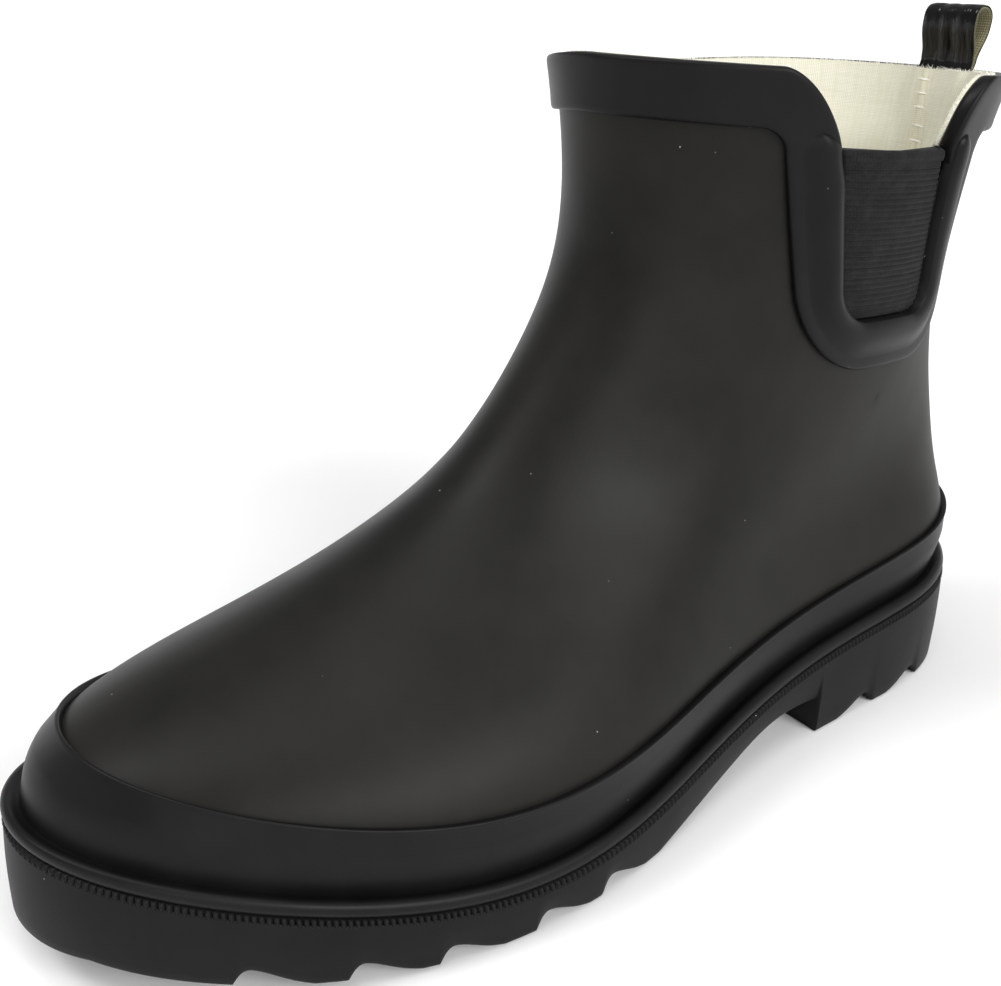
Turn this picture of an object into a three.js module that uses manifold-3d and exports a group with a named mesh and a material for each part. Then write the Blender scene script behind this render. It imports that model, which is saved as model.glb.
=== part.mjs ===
// Rubber rain boot for the left foot, ankle height, with one elastic gore in the outer side.
// Millimetres, +Z up. The toe points to -Y and the outer (lateral) side of the foot to +X.
//
// The boot is drawn in its own side view: a runs from the heel back (0) to the toe, z is height and
// x is sideways. theta goes once round the boot: 0 at the heel back, PI at the toe, and the lateral
// side lies between them. h rises from the welt line (0) to the rim (1).
import * as THREE from 'three';
import { mergeVertices } from 'three/addons/utils/BufferGeometryUtils.js';
import Module from 'manifold-3d';

const wasm = await Module();
wasm.setup();

// ---------------------------------------------------------------- driving dimensions
const footLength = 272;         // upper at the welt line, heel to toe
const footWidth = 57;           // widest half width of the upper at the ball
const rimFront = 181;           // rim height at the shin
const rimBack = 168.5;          // rim height at the heel side
const shaftRadius = 48;         // half width that the shaft takes, before its girth factor

const wall = 2;                 // upper rubber
const layerGap = 0.3;           // clearance between neighbouring layers
const interlay = 1;             // counter, puff, gore edge and strap tails
const liningThickness = 1;
const trimThickness = 1.6;
const ridgeThickness = 1.4;
const foxingThickness = 1.3;

const collarBand = 13;          // trim width, below the rim and round the gore
const trimFillet = 5;           // inner corner between the collar band and the gore legs
const goreCentre = 0.2463 * footLength;
const goreWidth = 36.6;
const goreTop = 18;             // depth of the elastic's top edge below the rim
const goreBottom = 59.3;        // depth of its bottom edge
const goreCorner = 9;
const goreLean = 0.21;          // how far the gore leans back for each millimetre down
const goreSeam = 7;             // elastic caught between upper and lining
const dipFront = 17;            // length of the rim's shoulder ahead of the gore
const dipRear = 15;
const dipPower = 1.45;          // superellipse power of both shoulders
const ridgeWidth = 7;
const ridgeInset = 0.6;
const bindingHeight = 3.6;
const bindingWall = 0.7;

const strapWidth = 17;
const strapThickness = 0.95;
const strapOffset = 3.5;        // strap centre, sideways from the heel line
const strapTail = 26;
const loopTopRadius = 3.7;
const loopTopHeight = 11.3;     // centre of the loop's round top above the flex line
const loopMidHeight = 7.5;
const loopBaseRadius = 1.15;
const loopLean = 0.19;          // radians that the loop leans back at rest
const seamCentre = 0.5;         // the lining's seam, sideways from the heel line
const seamTapeWidth = 6;
const seamTapeThickness = 0.6;

const welt = 4.6;               // welt line above the top of the outsole
const soleOverhangTop = 5.4;
const soleOverhangGround = 4.4;
const toeFlare = 2.4;           // how much further the tread stands out under the toe
const stripHeight = 1.3;
const toeSpring = 12;
const heelBreast = 75;
const archHeight = 12;
const archEnd = 148;
const treadDepth = 3.8;
const fillerInset = 9;
const fillerFloor = 6.5;
const heelFloor = 9;
const shankWidth = 14;
const shankThickness = 1.5;
const boardThickness = 2;
const footbedThickness = 4.5;
const coverThickness = 0.8;

// ---------------------------------------------------------------- shape tables
// Half widths at the welt, as shares of footWidth, at shares of the section's length.
const widthStations = [0, 0.06, 0.15, 0.3, 0.45, 0.6, 0.75, 0.88, 1];
const lateralWidth = [0.974, 0.93, 0.789, 0.667, 0.754, 0.93, 1, 0.991, 0.991];
const medialWidth = [0.965, 0.921, 0.842, 0.632, 0.57, 0.763, 0.868, 0.939, 1];
// Welt line height above the ground and foxing height above the welt line, along the foot.
const soleStations = [0, 0.27, 0.45, 0.68, 1];
const weltHeights = [31, 27, 20, 15.5, 35.5];
const foxingHeights = [16.5, 14, 16.5, 17, 18];
// Front and back profiles: shares of footLength at shares of the height from welt to rim.
const frontStations = [0, 0.082, 0.158, 0.233, 0.32, 0.395, 0.505, 0.636, 0.766, 1];
const frontShares = [1.007, 0.990, 0.919, 0.776, 0.643, 0.586, 0.531, 0.485, 0.465, 0.465];
const backStations = [0, 0.095, 0.189, 0.327, 0.465, 0.64, 0.807, 1];
const backShares = [0.007, -0.008, -0.006, 0.0055, 0.022, 0.0386, 0.0294, 0.0037];
// Girth factor along the height.
const girthStations = [-0.05, 0.1, 0.2, 0.337, 0.5, 0.705, 1];
const girthFactors = [0.95, 1.04, 0.84, 0.69, 0.71, 0.79, 0.97];
const shaftStart = 0.069;       // height share where the foot's plan starts to round into the shaft
const shaftBlend = 0.403;
const weltWarp = 0.35;          // height share up to which sections follow the curved welt line

// ---------------------------------------------------------------- resolution
const roundSteps = 48;
const heightLevels = [0, 0.05, 0.1, 0.16, 0.23, 0.31, 0.4, 0.52, 0.65, 0.79, 0.91, 1];
const curveSteps = 36;
const cornerSteps = 5;
const reach = 90;               // sideways reach of cutters, well past the boot's width

// ---------------------------------------------------------------- curves
// Natural cubic spline through (xs, ys), carried on straight past both ends.
function spline(xs, ys) {
  const n = xs.length;
  const step = xs.slice(1).map((x, i) => x - xs[i]);
  const rise = ys.slice(1).map((y, i) => (y - ys[i]) / step[i]);
  const bend = new Array(n).fill(0);
  const carry = new Array(n).fill(0);
  for (let i = 1; i < n - 1; i++) {
    const pivot = 2 * (step[i - 1] + step[i]) - step[i - 1] * carry[i - 1];
    carry[i] = step[i] / pivot;
    bend[i] = (6 * (rise[i] - rise[i - 1]) - step[i - 1] * bend[i - 1]) / pivot;
  }
  for (let i = n - 2; i > 0; i--) {
    bend[i] -= carry[i] * bend[i + 1];
  }
  return (x) => {
    let i = 0;
    while (i < n - 2 && x > xs[i + 1]) {
      i++;
    }
    const inside = Math.min(Math.max(x, xs[0]), xs[n - 1]);
    const u = xs[i + 1] - inside;
    const v = inside - xs[i];
    const k = step[i];
    const slope = rise[i] + (bend[i] * (k * k - 3 * u * u) + bend[i + 1] * (3 * v * v - k * k)) / (6 * k);
    const height = (bend[i] * u ** 3 + bend[i + 1] * v ** 3) / (6 * k)
      + (ys[i] / k - bend[i] * k / 6) * u
      + (ys[i + 1] / k - bend[i + 1] * k / 6) * v;
    return height + (x - inside) * slope;
  };
}

const lengthAt = (shares) => shares.map((share) => share * footLength);
const widthAt = (shares) => shares.map((share) => share * footWidth);
const lateral = spline(widthStations, widthAt(lateralWidth));
const medial = spline(widthStations, widthAt(medialWidth));
const weltLine = spline(lengthAt(soleStations), weltHeights);
const foxingHeight = spline(lengthAt(soleStations), foxingHeights);
const frontProfile = spline(frontStations, lengthAt(frontShares));
const backProfile = spline(backStations, lengthAt(backShares));
const girth = spline(girthStations, girthFactors);
const weltBack = weltHeights[0];
const weltFront = weltHeights[weltHeights.length - 1];
const clamp01 = (t) => Math.min(Math.max(t, 0), 1);
const smooth = (t) => clamp01(t) ** 2 * (3 - 2 * clamp01(t));
const rimLine = (a) => {
  const start = backProfile(1);
  return rimBack + (rimFront - rimBack) * (a - start) / (frontProfile(1) - start);
};
const soleTop = (a) => weltLine(a) - welt;
const ground = (a) => toeSpring * clamp01((a / footLength - 0.7) / 0.3) ** 2;

// ---------------------------------------------------------------- the boot's outer skin
const toFrame = (a, x, z) => new THREE.Vector3(x, footLength / 2 - a, z);

// A point of the upper's outer face: an oval section between the back and front profiles, whose
// half widths follow the foot's plan below and an even shaft above.
function skin(theta, h) {
  const zFront = weltFront + (rimFront - weltFront) * h;
  const zBack = weltBack + (rimBack - weltBack) * h;
  const share = (1 - Math.cos(theta)) / 2;
  const a = backProfile(h) + (frontProfile(h) - backProfile(h)) * share;
  const follow = clamp01(1 - h / weltWarp) ** 1.5;
  const chord = weltBack + (weltFront - weltBack) * share;
  const z = zBack + (zFront - zBack) * share + follow * (weltLine(a) - chord);
  const shaft = smooth((h - shaftStart) / shaftBlend);
  const plan = Math.sin(theta) >= 0 ? lateral(share) : medial(share);
  const x = Math.sin(theta) * girth(h) * ((1 - shaft) * plan + shaft * shaftRadius);
  return toFrame(a, x, z);
}

// The same point moved out along the skin's normal. At the rim it moves level and stays on the
// rim's slope, so every layer ends flush.
function offsetSkin(theta, h, offset) {
  const tiny = 1e-3;
  const low = Math.max(h - tiny, 0);
  const high = Math.min(h + tiny, 1);
  const around = skin(theta + tiny, h).sub(skin(theta - tiny, h));
  const up = skin(theta, high).sub(skin(theta, low));
  const normal = up.cross(around);
  if (h === 1) {
    normal.z = 0;
  }
  const point = skin(theta, h).addScaledVector(normal.normalize(), offset);
  if (h === 1) {
    point.z = rimLine(footLength / 2 - point.y);
  }
  return point;
}

// The welt outline moved out in plan by offset, at the height that level(a) gives.
function outline(theta, offset, level) {
  const tiny = 1e-3;
  const along = skin(theta + tiny, 0).sub(skin(theta - tiny, 0));
  const outward = new THREE.Vector3(-along.y, along.x, 0).normalize();
  const point = skin(theta, 0).addScaledVector(outward, offset);
  point.z = level(footLength / 2 - point.y);
  return point;
}

// ---------------------------------------------------------------- solids
function toSolid(geometry) {
  const bare = geometry.clone();
  bare.deleteAttribute('normal');
  bare.deleteAttribute('uv');
  const merged = mergeVertices(bare);
  const vertProperties = new Float32Array(merged.attributes.position.array);
  const triVerts = new Uint32Array(merged.index.array);
  return new wasm.Manifold(new wasm.Mesh({ numProp: 3, vertProperties, triVerts }));
}

function toGeometry(solid) {
  const mesh = solid.getMesh();
  const geometry = new THREE.BufferGeometry();
  geometry.setAttribute('position', new THREE.BufferAttribute(mesh.vertProperties, 3));
  geometry.setIndex(new THREE.BufferAttribute(mesh.triVerts, 1));
  return geometry;
}

// A closed ring: rows[i] is a closed section, and the last row joins the first. The second half of
// a section splits its quads the other way, so that a layer's two faces stay parallel.
function ring(rows) {
  const n = rows[0].length;
  const positions = rows.flat().flatMap((point) => [point.x, point.y, point.z]);
  const index = [];
  rows.forEach((row, i) => {
    const next = (i + 1) % rows.length;
    for (let j = 0; j < n; j++) {
      const k = (j + 1) % n;
      const [a, b, c, d] = [i * n + j, i * n + k, next * n + k, next * n + j];
      index.push(...(j < n / 2 ? [a, c, d, a, b, c] : [a, b, d, b, c, d]));
    }
  });
  const geometry = new THREE.BufferGeometry();
  geometry.setAttribute('position', new THREE.Float32BufferAttribute(positions, 3));
  geometry.setIndex(index);
  return toSolid(geometry);
}

const thetas = Array.from({ length: roundSteps }, (_, i) => (2 * Math.PI * i) / roundSteps);

// A layer of the upper between two offsets of the skin, from the top of the outsole to the rim.
function layer(inner, outer) {
  const rows = thetas.map((theta) => {
    const foot = (a) => soleTop(a) + layerGap;
    const outside = heightLevels.map((h) => offsetSkin(theta, h, outer));
    const inside = heightLevels.map((h) => offsetSkin(theta, h, inner)).reverse();
    return [outline(theta, outer, foot), ...outside, ...inside, outline(theta, inner, foot)];
  });
  return ring(rows);
}

// A profile of [offset, rise] corners carried round the welt outline.
function weltRing(profile) {
  const corner = (theta, [offset, rise]) => outline(theta, offset, (a) => weltLine(a) + rise);
  return ring(thetas.map((theta) => profile.map((point) => corner(theta, point))));
}

// A slab inside the welt outline between two heights, with an offset of its own at each face and, at
// the bottom face, a flare towards the toe.
function slab(offsetLow, low, offsetHigh, high, flare = 0) {
  const half = roundSteps / 2;
  const toeShare = (theta) => Math.max(-Math.cos(theta), 0) ** 4;
  const bottom = thetas.map((theta) => outline(theta, offsetLow + flare * toeShare(theta), low));
  const top = thetas.map((theta) => outline(theta, offsetHigh, high));
  const positions = [...bottom, ...top].flatMap((point) => [point.x, point.y, point.z]);
  const index = [];
  for (let i = 0; i < roundSteps; i++) {
    const next = (i + 1) % roundSteps;
    index.push(i, roundSteps + next, next, i, roundSteps + i, roundSteps + next);
  }
  for (let i = 0; i < half; i++) {
    const [a, b, c, d] = [i, i + 1, roundSteps - i, roundSteps - i - 1];
    if (i < half - 1) {
      index.push(a, b, d, roundSteps + a, roundSteps + d, roundSteps + b);
    }
    if (i > 0) {
      index.push(a, d, c, roundSteps + a, roundSteps + c, roundSteps + d);
    }
  }
  const geometry = new THREE.BufferGeometry();
  geometry.setAttribute('position', new THREE.Float32BufferAttribute(positions, 3));
  geometry.setIndex(index);
  return toSolid(geometry);
}

// A side-view outline of [a, z] corners made a solid from x = low to x = high.
function prism(corners, low, high) {
  const shape = new THREE.Shape(corners.map(([a, z]) => new THREE.Vector2(a, z)));
  const geometry = new THREE.ExtrudeGeometry(shape, { depth: high - low, bevelEnabled: false, curveSegments: 6 });
  const place = new THREE.Matrix4().set(0, 0, -1, high, -1, 0, 0, footLength / 2, 0, 1, 0, 0, 0, 0, 0, 1);
  return toSolid(geometry.applyMatrix4(place));
}

// The side-view band between two height curves from a = start to a = end.
function between(start, end, low, high) {
  const stops = Array.from({ length: curveSteps + 1 }, (_, i) => start + ((end - start) * i) / curveSteps);
  return [...stops.map((a) => [a, low(a)]), ...stops.reverse().map((a) => [a, high(a)])];
}

// ---------------------------------------------------------------- side-view outlines at the rim
// A place at depth below the rim; across is measured from the gore's leaning centre line.
const besideGore = (across, depth) => {
  const a = goreCentre - goreLean * (depth - goreTop) + across;
  return [a, rimLine(a) - depth];
};

// The gore's U grown by a margin, from its rear top corner round the bottom to its front one.
function goreU(grow, top = goreTop) {
  const half = goreWidth / 2 + grow;
  const radius = goreCorner + grow;
  const level = goreBottom + grow - radius;
  const corners = [besideGore(-half, top)];
  for (let i = 0; i <= cornerSteps; i++) {
    const turn = (Math.PI / 2) * (i / cornerSteps);
    corners.push(besideGore(-half + radius * (1 - Math.cos(turn)), level + radius * Math.sin(turn)));
  }
  for (let i = cornerSteps; i >= 0; i--) {
    const turn = (Math.PI / 2) * (i / cornerSteps);
    corners.push(besideGore(half - radius * (1 - Math.cos(turn)), level + radius * Math.sin(turn)));
  }
  return [...corners, besideGore(half, top)];
}

// The rim's shoulder beside the gore: side is -1 behind it and 1 ahead of it.
function shoulder(side, length) {
  return Array.from({ length: cornerSteps + 1 }, (_, i) => {
    const turn = (Math.PI / 2) * (i / cornerSteps);
    const out = length * (1 - Math.cos(turn) ** (2 / dipPower));
    const depth = goreTop * (1 - Math.sin(turn) ** (2 / dipPower));
    return besideGore(side * (goreWidth / 2 + out), depth);
  });
}

const aboveRim = ([a]) => [a, rimLine(a) + collarBand];

// Everything that is open at the gore: the U and both shoulders, carried up past the rim.
function goreOpening() {
  const rear = shoulder(-1, dipRear).reverse();
  const front = shoulder(1, dipFront);
  return prism(
    [aboveRim(rear[0]), ...rear, ...goreU(0).slice(1, -1), ...front, aboveRim(front.at(-1))], 0, reach);
}

// The trim's outer edge round the gore, flared into the collar band by a fillet.
function trimLegs() {
  const legs = goreU(collarBand, collarBand + trimFillet);
  const half = goreWidth / 2 + collarBand;
  const flare = (side) => Array.from({ length: cornerSteps }, (_, i) => {
    const turn = (Math.PI / 2) * (i / cornerSteps);
    const out = trimFillet * (1 - Math.sin(turn));
    return besideGore(side * (half + out), collarBand + trimFillet * (1 - Math.cos(turn)));
  });
  const rear = flare(-1);
  const front = flare(1).reverse();
  return prism([aboveRim(rear[0]), ...rear, ...legs, ...front, aboveRim(front.at(-1))], 0, reach);
}

const pastToe = footLength + reach;
const collarZone = () => prism(
  between(-reach, pastToe, (a) => rimLine(a) - collarBand, (a) => rimLine(a) + collarBand), -reach, reach);

// ---------------------------------------------------------------- upper
const interlayOuter = -wall - layerGap;
const interlayInner = interlayOuter - interlay;
const liningOuter = interlayInner - layerGap;
const liningInner = liningOuter - liningThickness;
const trimInner = layerGap;
const trimOuter = trimInner + trimThickness;

const upperShell = () => layer(-wall, 0).subtract(goreOpening());
const lining = () => layer(liningInner, liningOuter).subtract(goreOpening());
const interlayer = () => layer(interlayInner, interlayOuter);

function collarTrim() {
  return layer(trimInner, trimOuter).intersect(collarZone().add(trimLegs())).subtract(goreOpening());
}

function goreRidge() {
  const outer = goreU(ridgeInset + ridgeWidth);
  const inner = goreU(ridgeInset).reverse();
  const middle = goreWidth / 2 + ridgeInset + ridgeWidth / 2;
  const end = (side) => Array.from({ length: 2 * cornerSteps - 1 }, (_, i) => {
    const turn = Math.PI * ((i + 1) / (2 * cornerSteps));
    const across = side * middle + (ridgeWidth / 2) * Math.cos(turn);
    return besideGore(across, goreTop - (ridgeWidth / 2) * Math.sin(turn));
  });
  const outlineCorners = [...outer, ...end(1), ...inner, ...end(-1)];
  const bottom = trimOuter + layerGap;
  return layer(bottom, bottom + ridgeThickness).intersect(prism(outlineCorners, 0, reach));
}

const gorePanel = () => interlayer().intersect(prism(goreU(goreSeam), 0, reach));

function goreBinding() {
  const half = goreWidth / 2 - 2 * layerGap;
  const strip = (top, bottom) => prism([
    besideGore(-half, bottom), besideGore(half, bottom), besideGore(half, top), besideGore(-half, top),
  ], 0, reach);
  const slot = (top) => prism([
    besideGore(-reach / 2, goreBottom), besideGore(reach / 2, goreBottom),
    besideGore(reach / 2, top), besideGore(-reach / 2, top),
  ], 0, reach);
  const inner = interlayInner - layerGap;
  const outer = interlayOuter + layerGap;
  const fold = layer(inner - bindingWall, outer + bindingWall)
    .intersect(strip(goreTop - layerGap - bindingWall, goreTop - layerGap - bindingWall + bindingHeight));
  return fold.subtract(layer(inner, outer).intersect(slot(goreTop - layerGap)));
}

function toePuff() {
  const start = 0.86 * footLength;
  const zone = prism(
    [[start, 0], [pastToe, 0], [pastToe, rimBack], [start - archHeight, rimBack]], -reach, reach);
  return interlayer().intersect(zone);
}

function heelCounter() {
  const top = weltBack + 42;
  const zone = prism(
    [[-reach, 0], [0.26 * footLength, 0], [0.2 * footLength, top - 12], [-reach, top]], -reach, reach);
  return interlayer().intersect(zone);
}

function strapAnchor() {
  const low = strapOffset - strapWidth / 2;
  const zone = prism(
    between(-reach, footLength / 5, (a) => rimLine(a) - strapTail, (a) => rimLine(a) + strapTail),
    low, low + strapWidth);
  return interlayer().intersect(zone);
}

function liningTape() {
  const low = seamCentre - seamTapeWidth / 2;
  const outer = liningInner - layerGap;
  const zone = prism(
    between(-reach, footLength / 5, (a) => rimLine(a) - 95, (a) => rimLine(a) - 1), low, low + seamTapeWidth);
  return layer(outer - seamTapeThickness, outer).intersect(zone);
}

// ---------------------------------------------------------------- pull loop
// Hull of circles on the strap's centre line, each [height, radius], as a closed outline.
function dropOutline(circles, steps) {
  const side = (sign) => {
    const points = [];
    circles.forEach(([height, radius], i) => {
      const before = circles[i - 1];
      const after = circles[i + 1];
      const tilt = (from, to) => Math.asin((from[1] - to[1]) / (to[0] - from[0]));
      const start = before ? tilt(before, circles[i]) : -Math.PI / 2;
      const end = after ? tilt(circles[i], after) : Math.PI / 2;
      for (let k = 0; k <= steps; k++) {
        const turn = start + ((end - start) * k) / steps;
        points.push(new THREE.Vector2(sign * radius * Math.cos(turn), height + radius * Math.sin(turn)));
      }
    });
    return points;
  };
  const right = side(1);
  const left = side(-1).slice(1, -1).reverse();
  return [...right, ...left];
}

const flexA = () => backProfile(1) - interlayOuter + interlay / 2;
const flexZ = () => rimLine(flexA()) + 2 * layerGap + loopBaseRadius;

function pullLoop() {
  const outer = [[0, loopBaseRadius], [loopMidHeight, loopTopRadius - 0.2], [loopTopHeight, loopTopRadius]];
  const thin = ([height, radius]) => [height, radius - strapThickness];
  const inner = [[3.4, 0.25], thin(outer[1]), thin(outer[2])];
  const shape = new THREE.Shape(dropOutline(outer, 4));
  shape.holes.push(new THREE.Path(dropOutline(inner, 4)));
  const geometry = new THREE.ExtrudeGeometry(shape, { depth: strapWidth, bevelEnabled: false });
  geometry.rotateZ(loopLean);
  const place = new THREE.Matrix4().set(
    0, 0, -1, strapOffset + strapWidth / 2, -1, 0, 0, footLength / 2 - flexA(), 0, 1, 0, flexZ(), 0, 0, 0, 1);
  return toSolid(geometry.applyMatrix4(place));
}

// ---------------------------------------------------------------- foxing and welt
function foxingBand() {
  const low = (a) => weltLine(a) - welt + stripHeight + 2 * layerGap;
  const past = 2 * collarBand;
  const top = (a) => weltLine(a) + foxingHeight(a);
  const zone = prism(between(-past, footLength + past, low, top), -reach, reach);
  return layer(layerGap, layerGap + foxingThickness).intersect(zone);
}

function weltBead() {
  const inner = layerGap + foxingThickness / 2;
  const low = -welt + stripHeight + 2 * layerGap;
  const outer = soleOverhangTop + 0.2;
  const bead = weltRing([[inner, low], [outer, low], [outer + 0.2, low + 1], [outer - 0.5, low + 2.4],
    [outer - 1.5, low + 3.2], [inner, low + 3.4]]);
  return bead.subtract(layer(layerGap / 2, 2 * layerGap + foxingThickness));
}

function weltStrip() {
  const low = -welt + layerGap;
  const outer = soleOverhangTop + 0.4;
  return weltRing([[layerGap, low], [outer, low], [outer, low + stripHeight], [layerGap, low + stripHeight]]);
}

// ---------------------------------------------------------------- outsole
// Tread notches, each a leaning wave in side view: a steep wall towards the toe and a long rise behind
// it under the forefoot, and the other way round under the heel.
const forefootNotches = [0.592, 0.663, 0.749, 0.82, 0.901];
const heelNotches = [0.116, 0.197];
// [distance from the notch's peak towards its steep wall, share of the tread depth]
const notchWave = [[-13, -0.05], [-8, 0.3], [-3.5, 0.8], [-1, 1], [0.6, 0.96], [2, 0.6], [3.4, -0.05]];

function treadNotch(station, facing) {
  const a = station * footLength;
  const rise = treadDepth / 0.95;
  const wave = notchWave.map(([along, share]) => [
    a + facing * along, ground(a + facing * along) + rise * share,
  ]);
  const [first, last] = [wave[0], wave.at(-1)];
  const corners = [[first[0], first[1] - collarBand], ...wave, [last[0], last[1] - collarBand]];
  return prism(facing > 0 ? corners : corners.reverse(), -reach, reach);
}

// The arch between the heel's breast and the forefoot.
function archCut() {
  const rise = spline(
    [heelBreast, heelBreast + 18, (heelBreast + archEnd) / 2, archEnd], [archHeight - 1, archHeight, 8, -1]);
  return prism(between(heelBreast, archEnd, () => -reach, rise), -reach, reach);
}

const centreGroove = () => prism(
  between(archEnd, 0.95 * footLength, () => -reach, (a) => ground(a) + treadDepth * 0.6), -2, 2);

const aboveSole = (a) => soleTop(a) + welt;

// A pocket inside the outsole from a = start to a = end; clearance shrinks it to its filler.
function pocket(start, end, floor, clearance, lid) {
  const plan = slab(-fillerInset - clearance, () => -reach, -fillerInset - clearance, () => reach);
  const side = between(start + clearance, end - clearance, (a) => floor(a) + clearance, lid);
  return plan.intersect(prism(side, -reach, reach));
}

const heelPocket = (clearance, lid) => pocket(4, heelBreast - 12, () => heelFloor, clearance, lid);
const forefootPocket = (clearance, lid) => pocket(
  archEnd + 7, 0.94 * footLength, (a) => ground(a) + fillerFloor, clearance, lid);

function shankBar(clearance, lid) {
  const half = shankWidth / 2 + clearance;
  const low = (a) => soleTop(a) - shankThickness - layerGap - clearance;
  return prism(between(heelBreast - 6 - clearance, archEnd - 2 + clearance, low, lid), -half, half);
}

function outsole() {
  let body = slab(soleOverhangGround, ground, soleOverhangTop, soleTop, toeFlare);
  for (const station of forefootNotches) {
    body = body.subtract(treadNotch(station, 1));
  }
  for (const station of heelNotches) {
    body = body.subtract(treadNotch(station, -1));
  }
  return body
    .subtract(archCut())
    .subtract(centreGroove())
    .subtract(heelPocket(0, aboveSole))
    .subtract(forefootPocket(0, aboveSole))
    .subtract(shankBar(layerGap, aboveSole));
}

const heelFiller = () => heelPocket(layerGap, soleTop);
const forefootFiller = () => forefootPocket(layerGap, soleTop);
const shank = () => shankBar(0, (a) => soleTop(a) - layerGap);

// ---------------------------------------------------------------- inside the foot
const boardInset = liningInner - layerGap;
const level = (rise) => (a) => soleTop(a) + rise;
const boardLow = layerGap;
const footbedLow = boardLow + boardThickness + layerGap;
const coverLow = footbedLow + footbedThickness + layerGap;

const floorPiece = (inset, low, thickness) => slab(inset, level(low), inset, level(low + thickness));
const insideLining = (piece) => piece.subtract(layer(boardInset, 0));
const insoleBoard = () => floorPiece(boardInset, boardLow, boardThickness);
const footbed = () => insideLining(floorPiece(boardInset - layerGap, footbedLow, footbedThickness));
const footbedCover = () => insideLining(floorPiece(boardInset - layerGap, coverLow, coverThickness));

// ---------------------------------------------------------------- assembly
const finish = (color, roughness, metalness = 0) => ({ color, roughness, metalness });
const rubber = finish(0x2b2a28, 0.55);
const moulding = finish(0x262524, 0.5);
const soleRubber = finish(0x242322, 0.6);
const canvas = finish(0xe6e2d2, 0.95);
const elastic = finish(0x1d1c1e, 0.9);
const strap = finish(0x171616, 0.3);
const board = finish(0xb59a74, 0.9);
const foam = finish(0xd9d5c6, 0.95);
const steel = finish(0x8d9096, 0.35, 1);
const stiffener = finish(0xcabf9f, 0.85);

const boot = new THREE.Group();

function place(name, solid, material) {
  const mesh = new THREE.Mesh(toGeometry(solid), new THREE.MeshStandardMaterial(material));
  mesh.name = name;
  boot.add(mesh);
}

place('outsole', outsole(), soleRubber);
place('heel_filler', heelFiller(), foam);
place('forefoot_filler', forefootFiller(), foam);
place('shank', shank(), steel);
place('welt_strip', weltStrip(), soleRubber);
place('welt_bead', weltBead(), moulding);
place('foxing_band', foxingBand(), moulding);
place('upper_shell', upperShell(), rubber);
place('collar_trim', collarTrim(), moulding);
place('gore_ridge', goreRidge(), moulding);
place('gore_elastic', gorePanel(), elastic);
place('gore_binding', goreBinding(), elastic);
place('toe_puff', toePuff(), stiffener);
place('heel_counter', heelCounter(), stiffener);
place('strap_anchor', strapAnchor(), strap);
place('pull_loop', pullLoop(), strap);
place('lining', lining(), canvas);
place('lining_tape', liningTape(), canvas);
place('insole_board', insoleBoard(), board);
place('footbed', footbed(), foam);
place('footbed_cover', footbedCover(), canvas);

// The origin is the middle of the boot's box, on the ground.
const box = new THREE.Box3().setFromObject(boot);
const middle = box.getCenter(new THREE.Vector3());
boot.position.set(-middle.x, -middle.y, -box.min.z);

export default boot;
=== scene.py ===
"""A black rubber rain boot: ankle height, one elastic gore, canvas lining, pull loop and lugged sole.

The upper is one skin, a formula of two numbers. theta goes once round the boot, 0 at the heel back and pi
at the toe with the outer side between them, and h rises from the welt line (0) to the rim (1). Every layer
is that skin moved out or in along its normal, so the pieces fit by construction. Lengths are in
millimetres until a mesh is made. a is the distance from the heel back towards the toe.
"""

import math

import bmesh
import bpy
import numpy as np
from mathutils import Matrix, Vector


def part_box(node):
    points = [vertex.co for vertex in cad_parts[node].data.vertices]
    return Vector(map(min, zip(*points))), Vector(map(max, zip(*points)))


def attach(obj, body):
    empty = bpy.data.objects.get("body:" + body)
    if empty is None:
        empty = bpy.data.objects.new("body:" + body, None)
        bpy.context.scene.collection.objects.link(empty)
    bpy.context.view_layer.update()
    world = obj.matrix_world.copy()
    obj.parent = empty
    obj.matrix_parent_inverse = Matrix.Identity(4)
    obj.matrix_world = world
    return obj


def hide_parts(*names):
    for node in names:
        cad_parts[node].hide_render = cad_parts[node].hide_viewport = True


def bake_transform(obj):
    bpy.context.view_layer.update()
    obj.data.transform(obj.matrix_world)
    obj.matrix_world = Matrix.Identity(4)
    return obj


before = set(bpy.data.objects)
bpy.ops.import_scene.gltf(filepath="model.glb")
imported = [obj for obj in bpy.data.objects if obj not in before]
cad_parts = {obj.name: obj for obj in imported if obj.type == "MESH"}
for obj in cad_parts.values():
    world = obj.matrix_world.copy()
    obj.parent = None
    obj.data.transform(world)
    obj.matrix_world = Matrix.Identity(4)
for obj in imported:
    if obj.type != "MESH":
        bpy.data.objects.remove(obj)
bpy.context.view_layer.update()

# ---------------------------------------------------------------- driving sizes, millimetres
foot_length = 272.0
foot_width = 57.0               # from the middle line to the outer side, at the ball
rim_front = 181.0
rim_back = 168.5
shaft_radius = 48.0

wall = 2.0
trim_top = 1.9                  # trim's outer face above the skin
ridge_rise = 1.8                # ridge's crown above the trim
lining_gap = 2.05               # lining's outer face behind the skin, at the rim
lining_wall = 1.0

collar_band = 13.0
trim_fillet = 5.0
gore_centre = 0.2463 * foot_length
gore_half = 18.3                # half of the elastic's width
gore_top = 18.0                 # its top edge and its foot, both below the rim
gore_bottom = 59.3
gore_corner = 9.0
gore_lean = 0.21                # back for each millimetre down
dip_front = 12.0                # length of the rim's shoulder in front of the gore, and behind it
dip_rear = 15.0
dip_power = 1.6                 # of the shoulders' superellipse
ridge_width = 9.6
rim_tilt = 5.0                  # how much lower the rim runs on the inner side, towards the front

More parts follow.
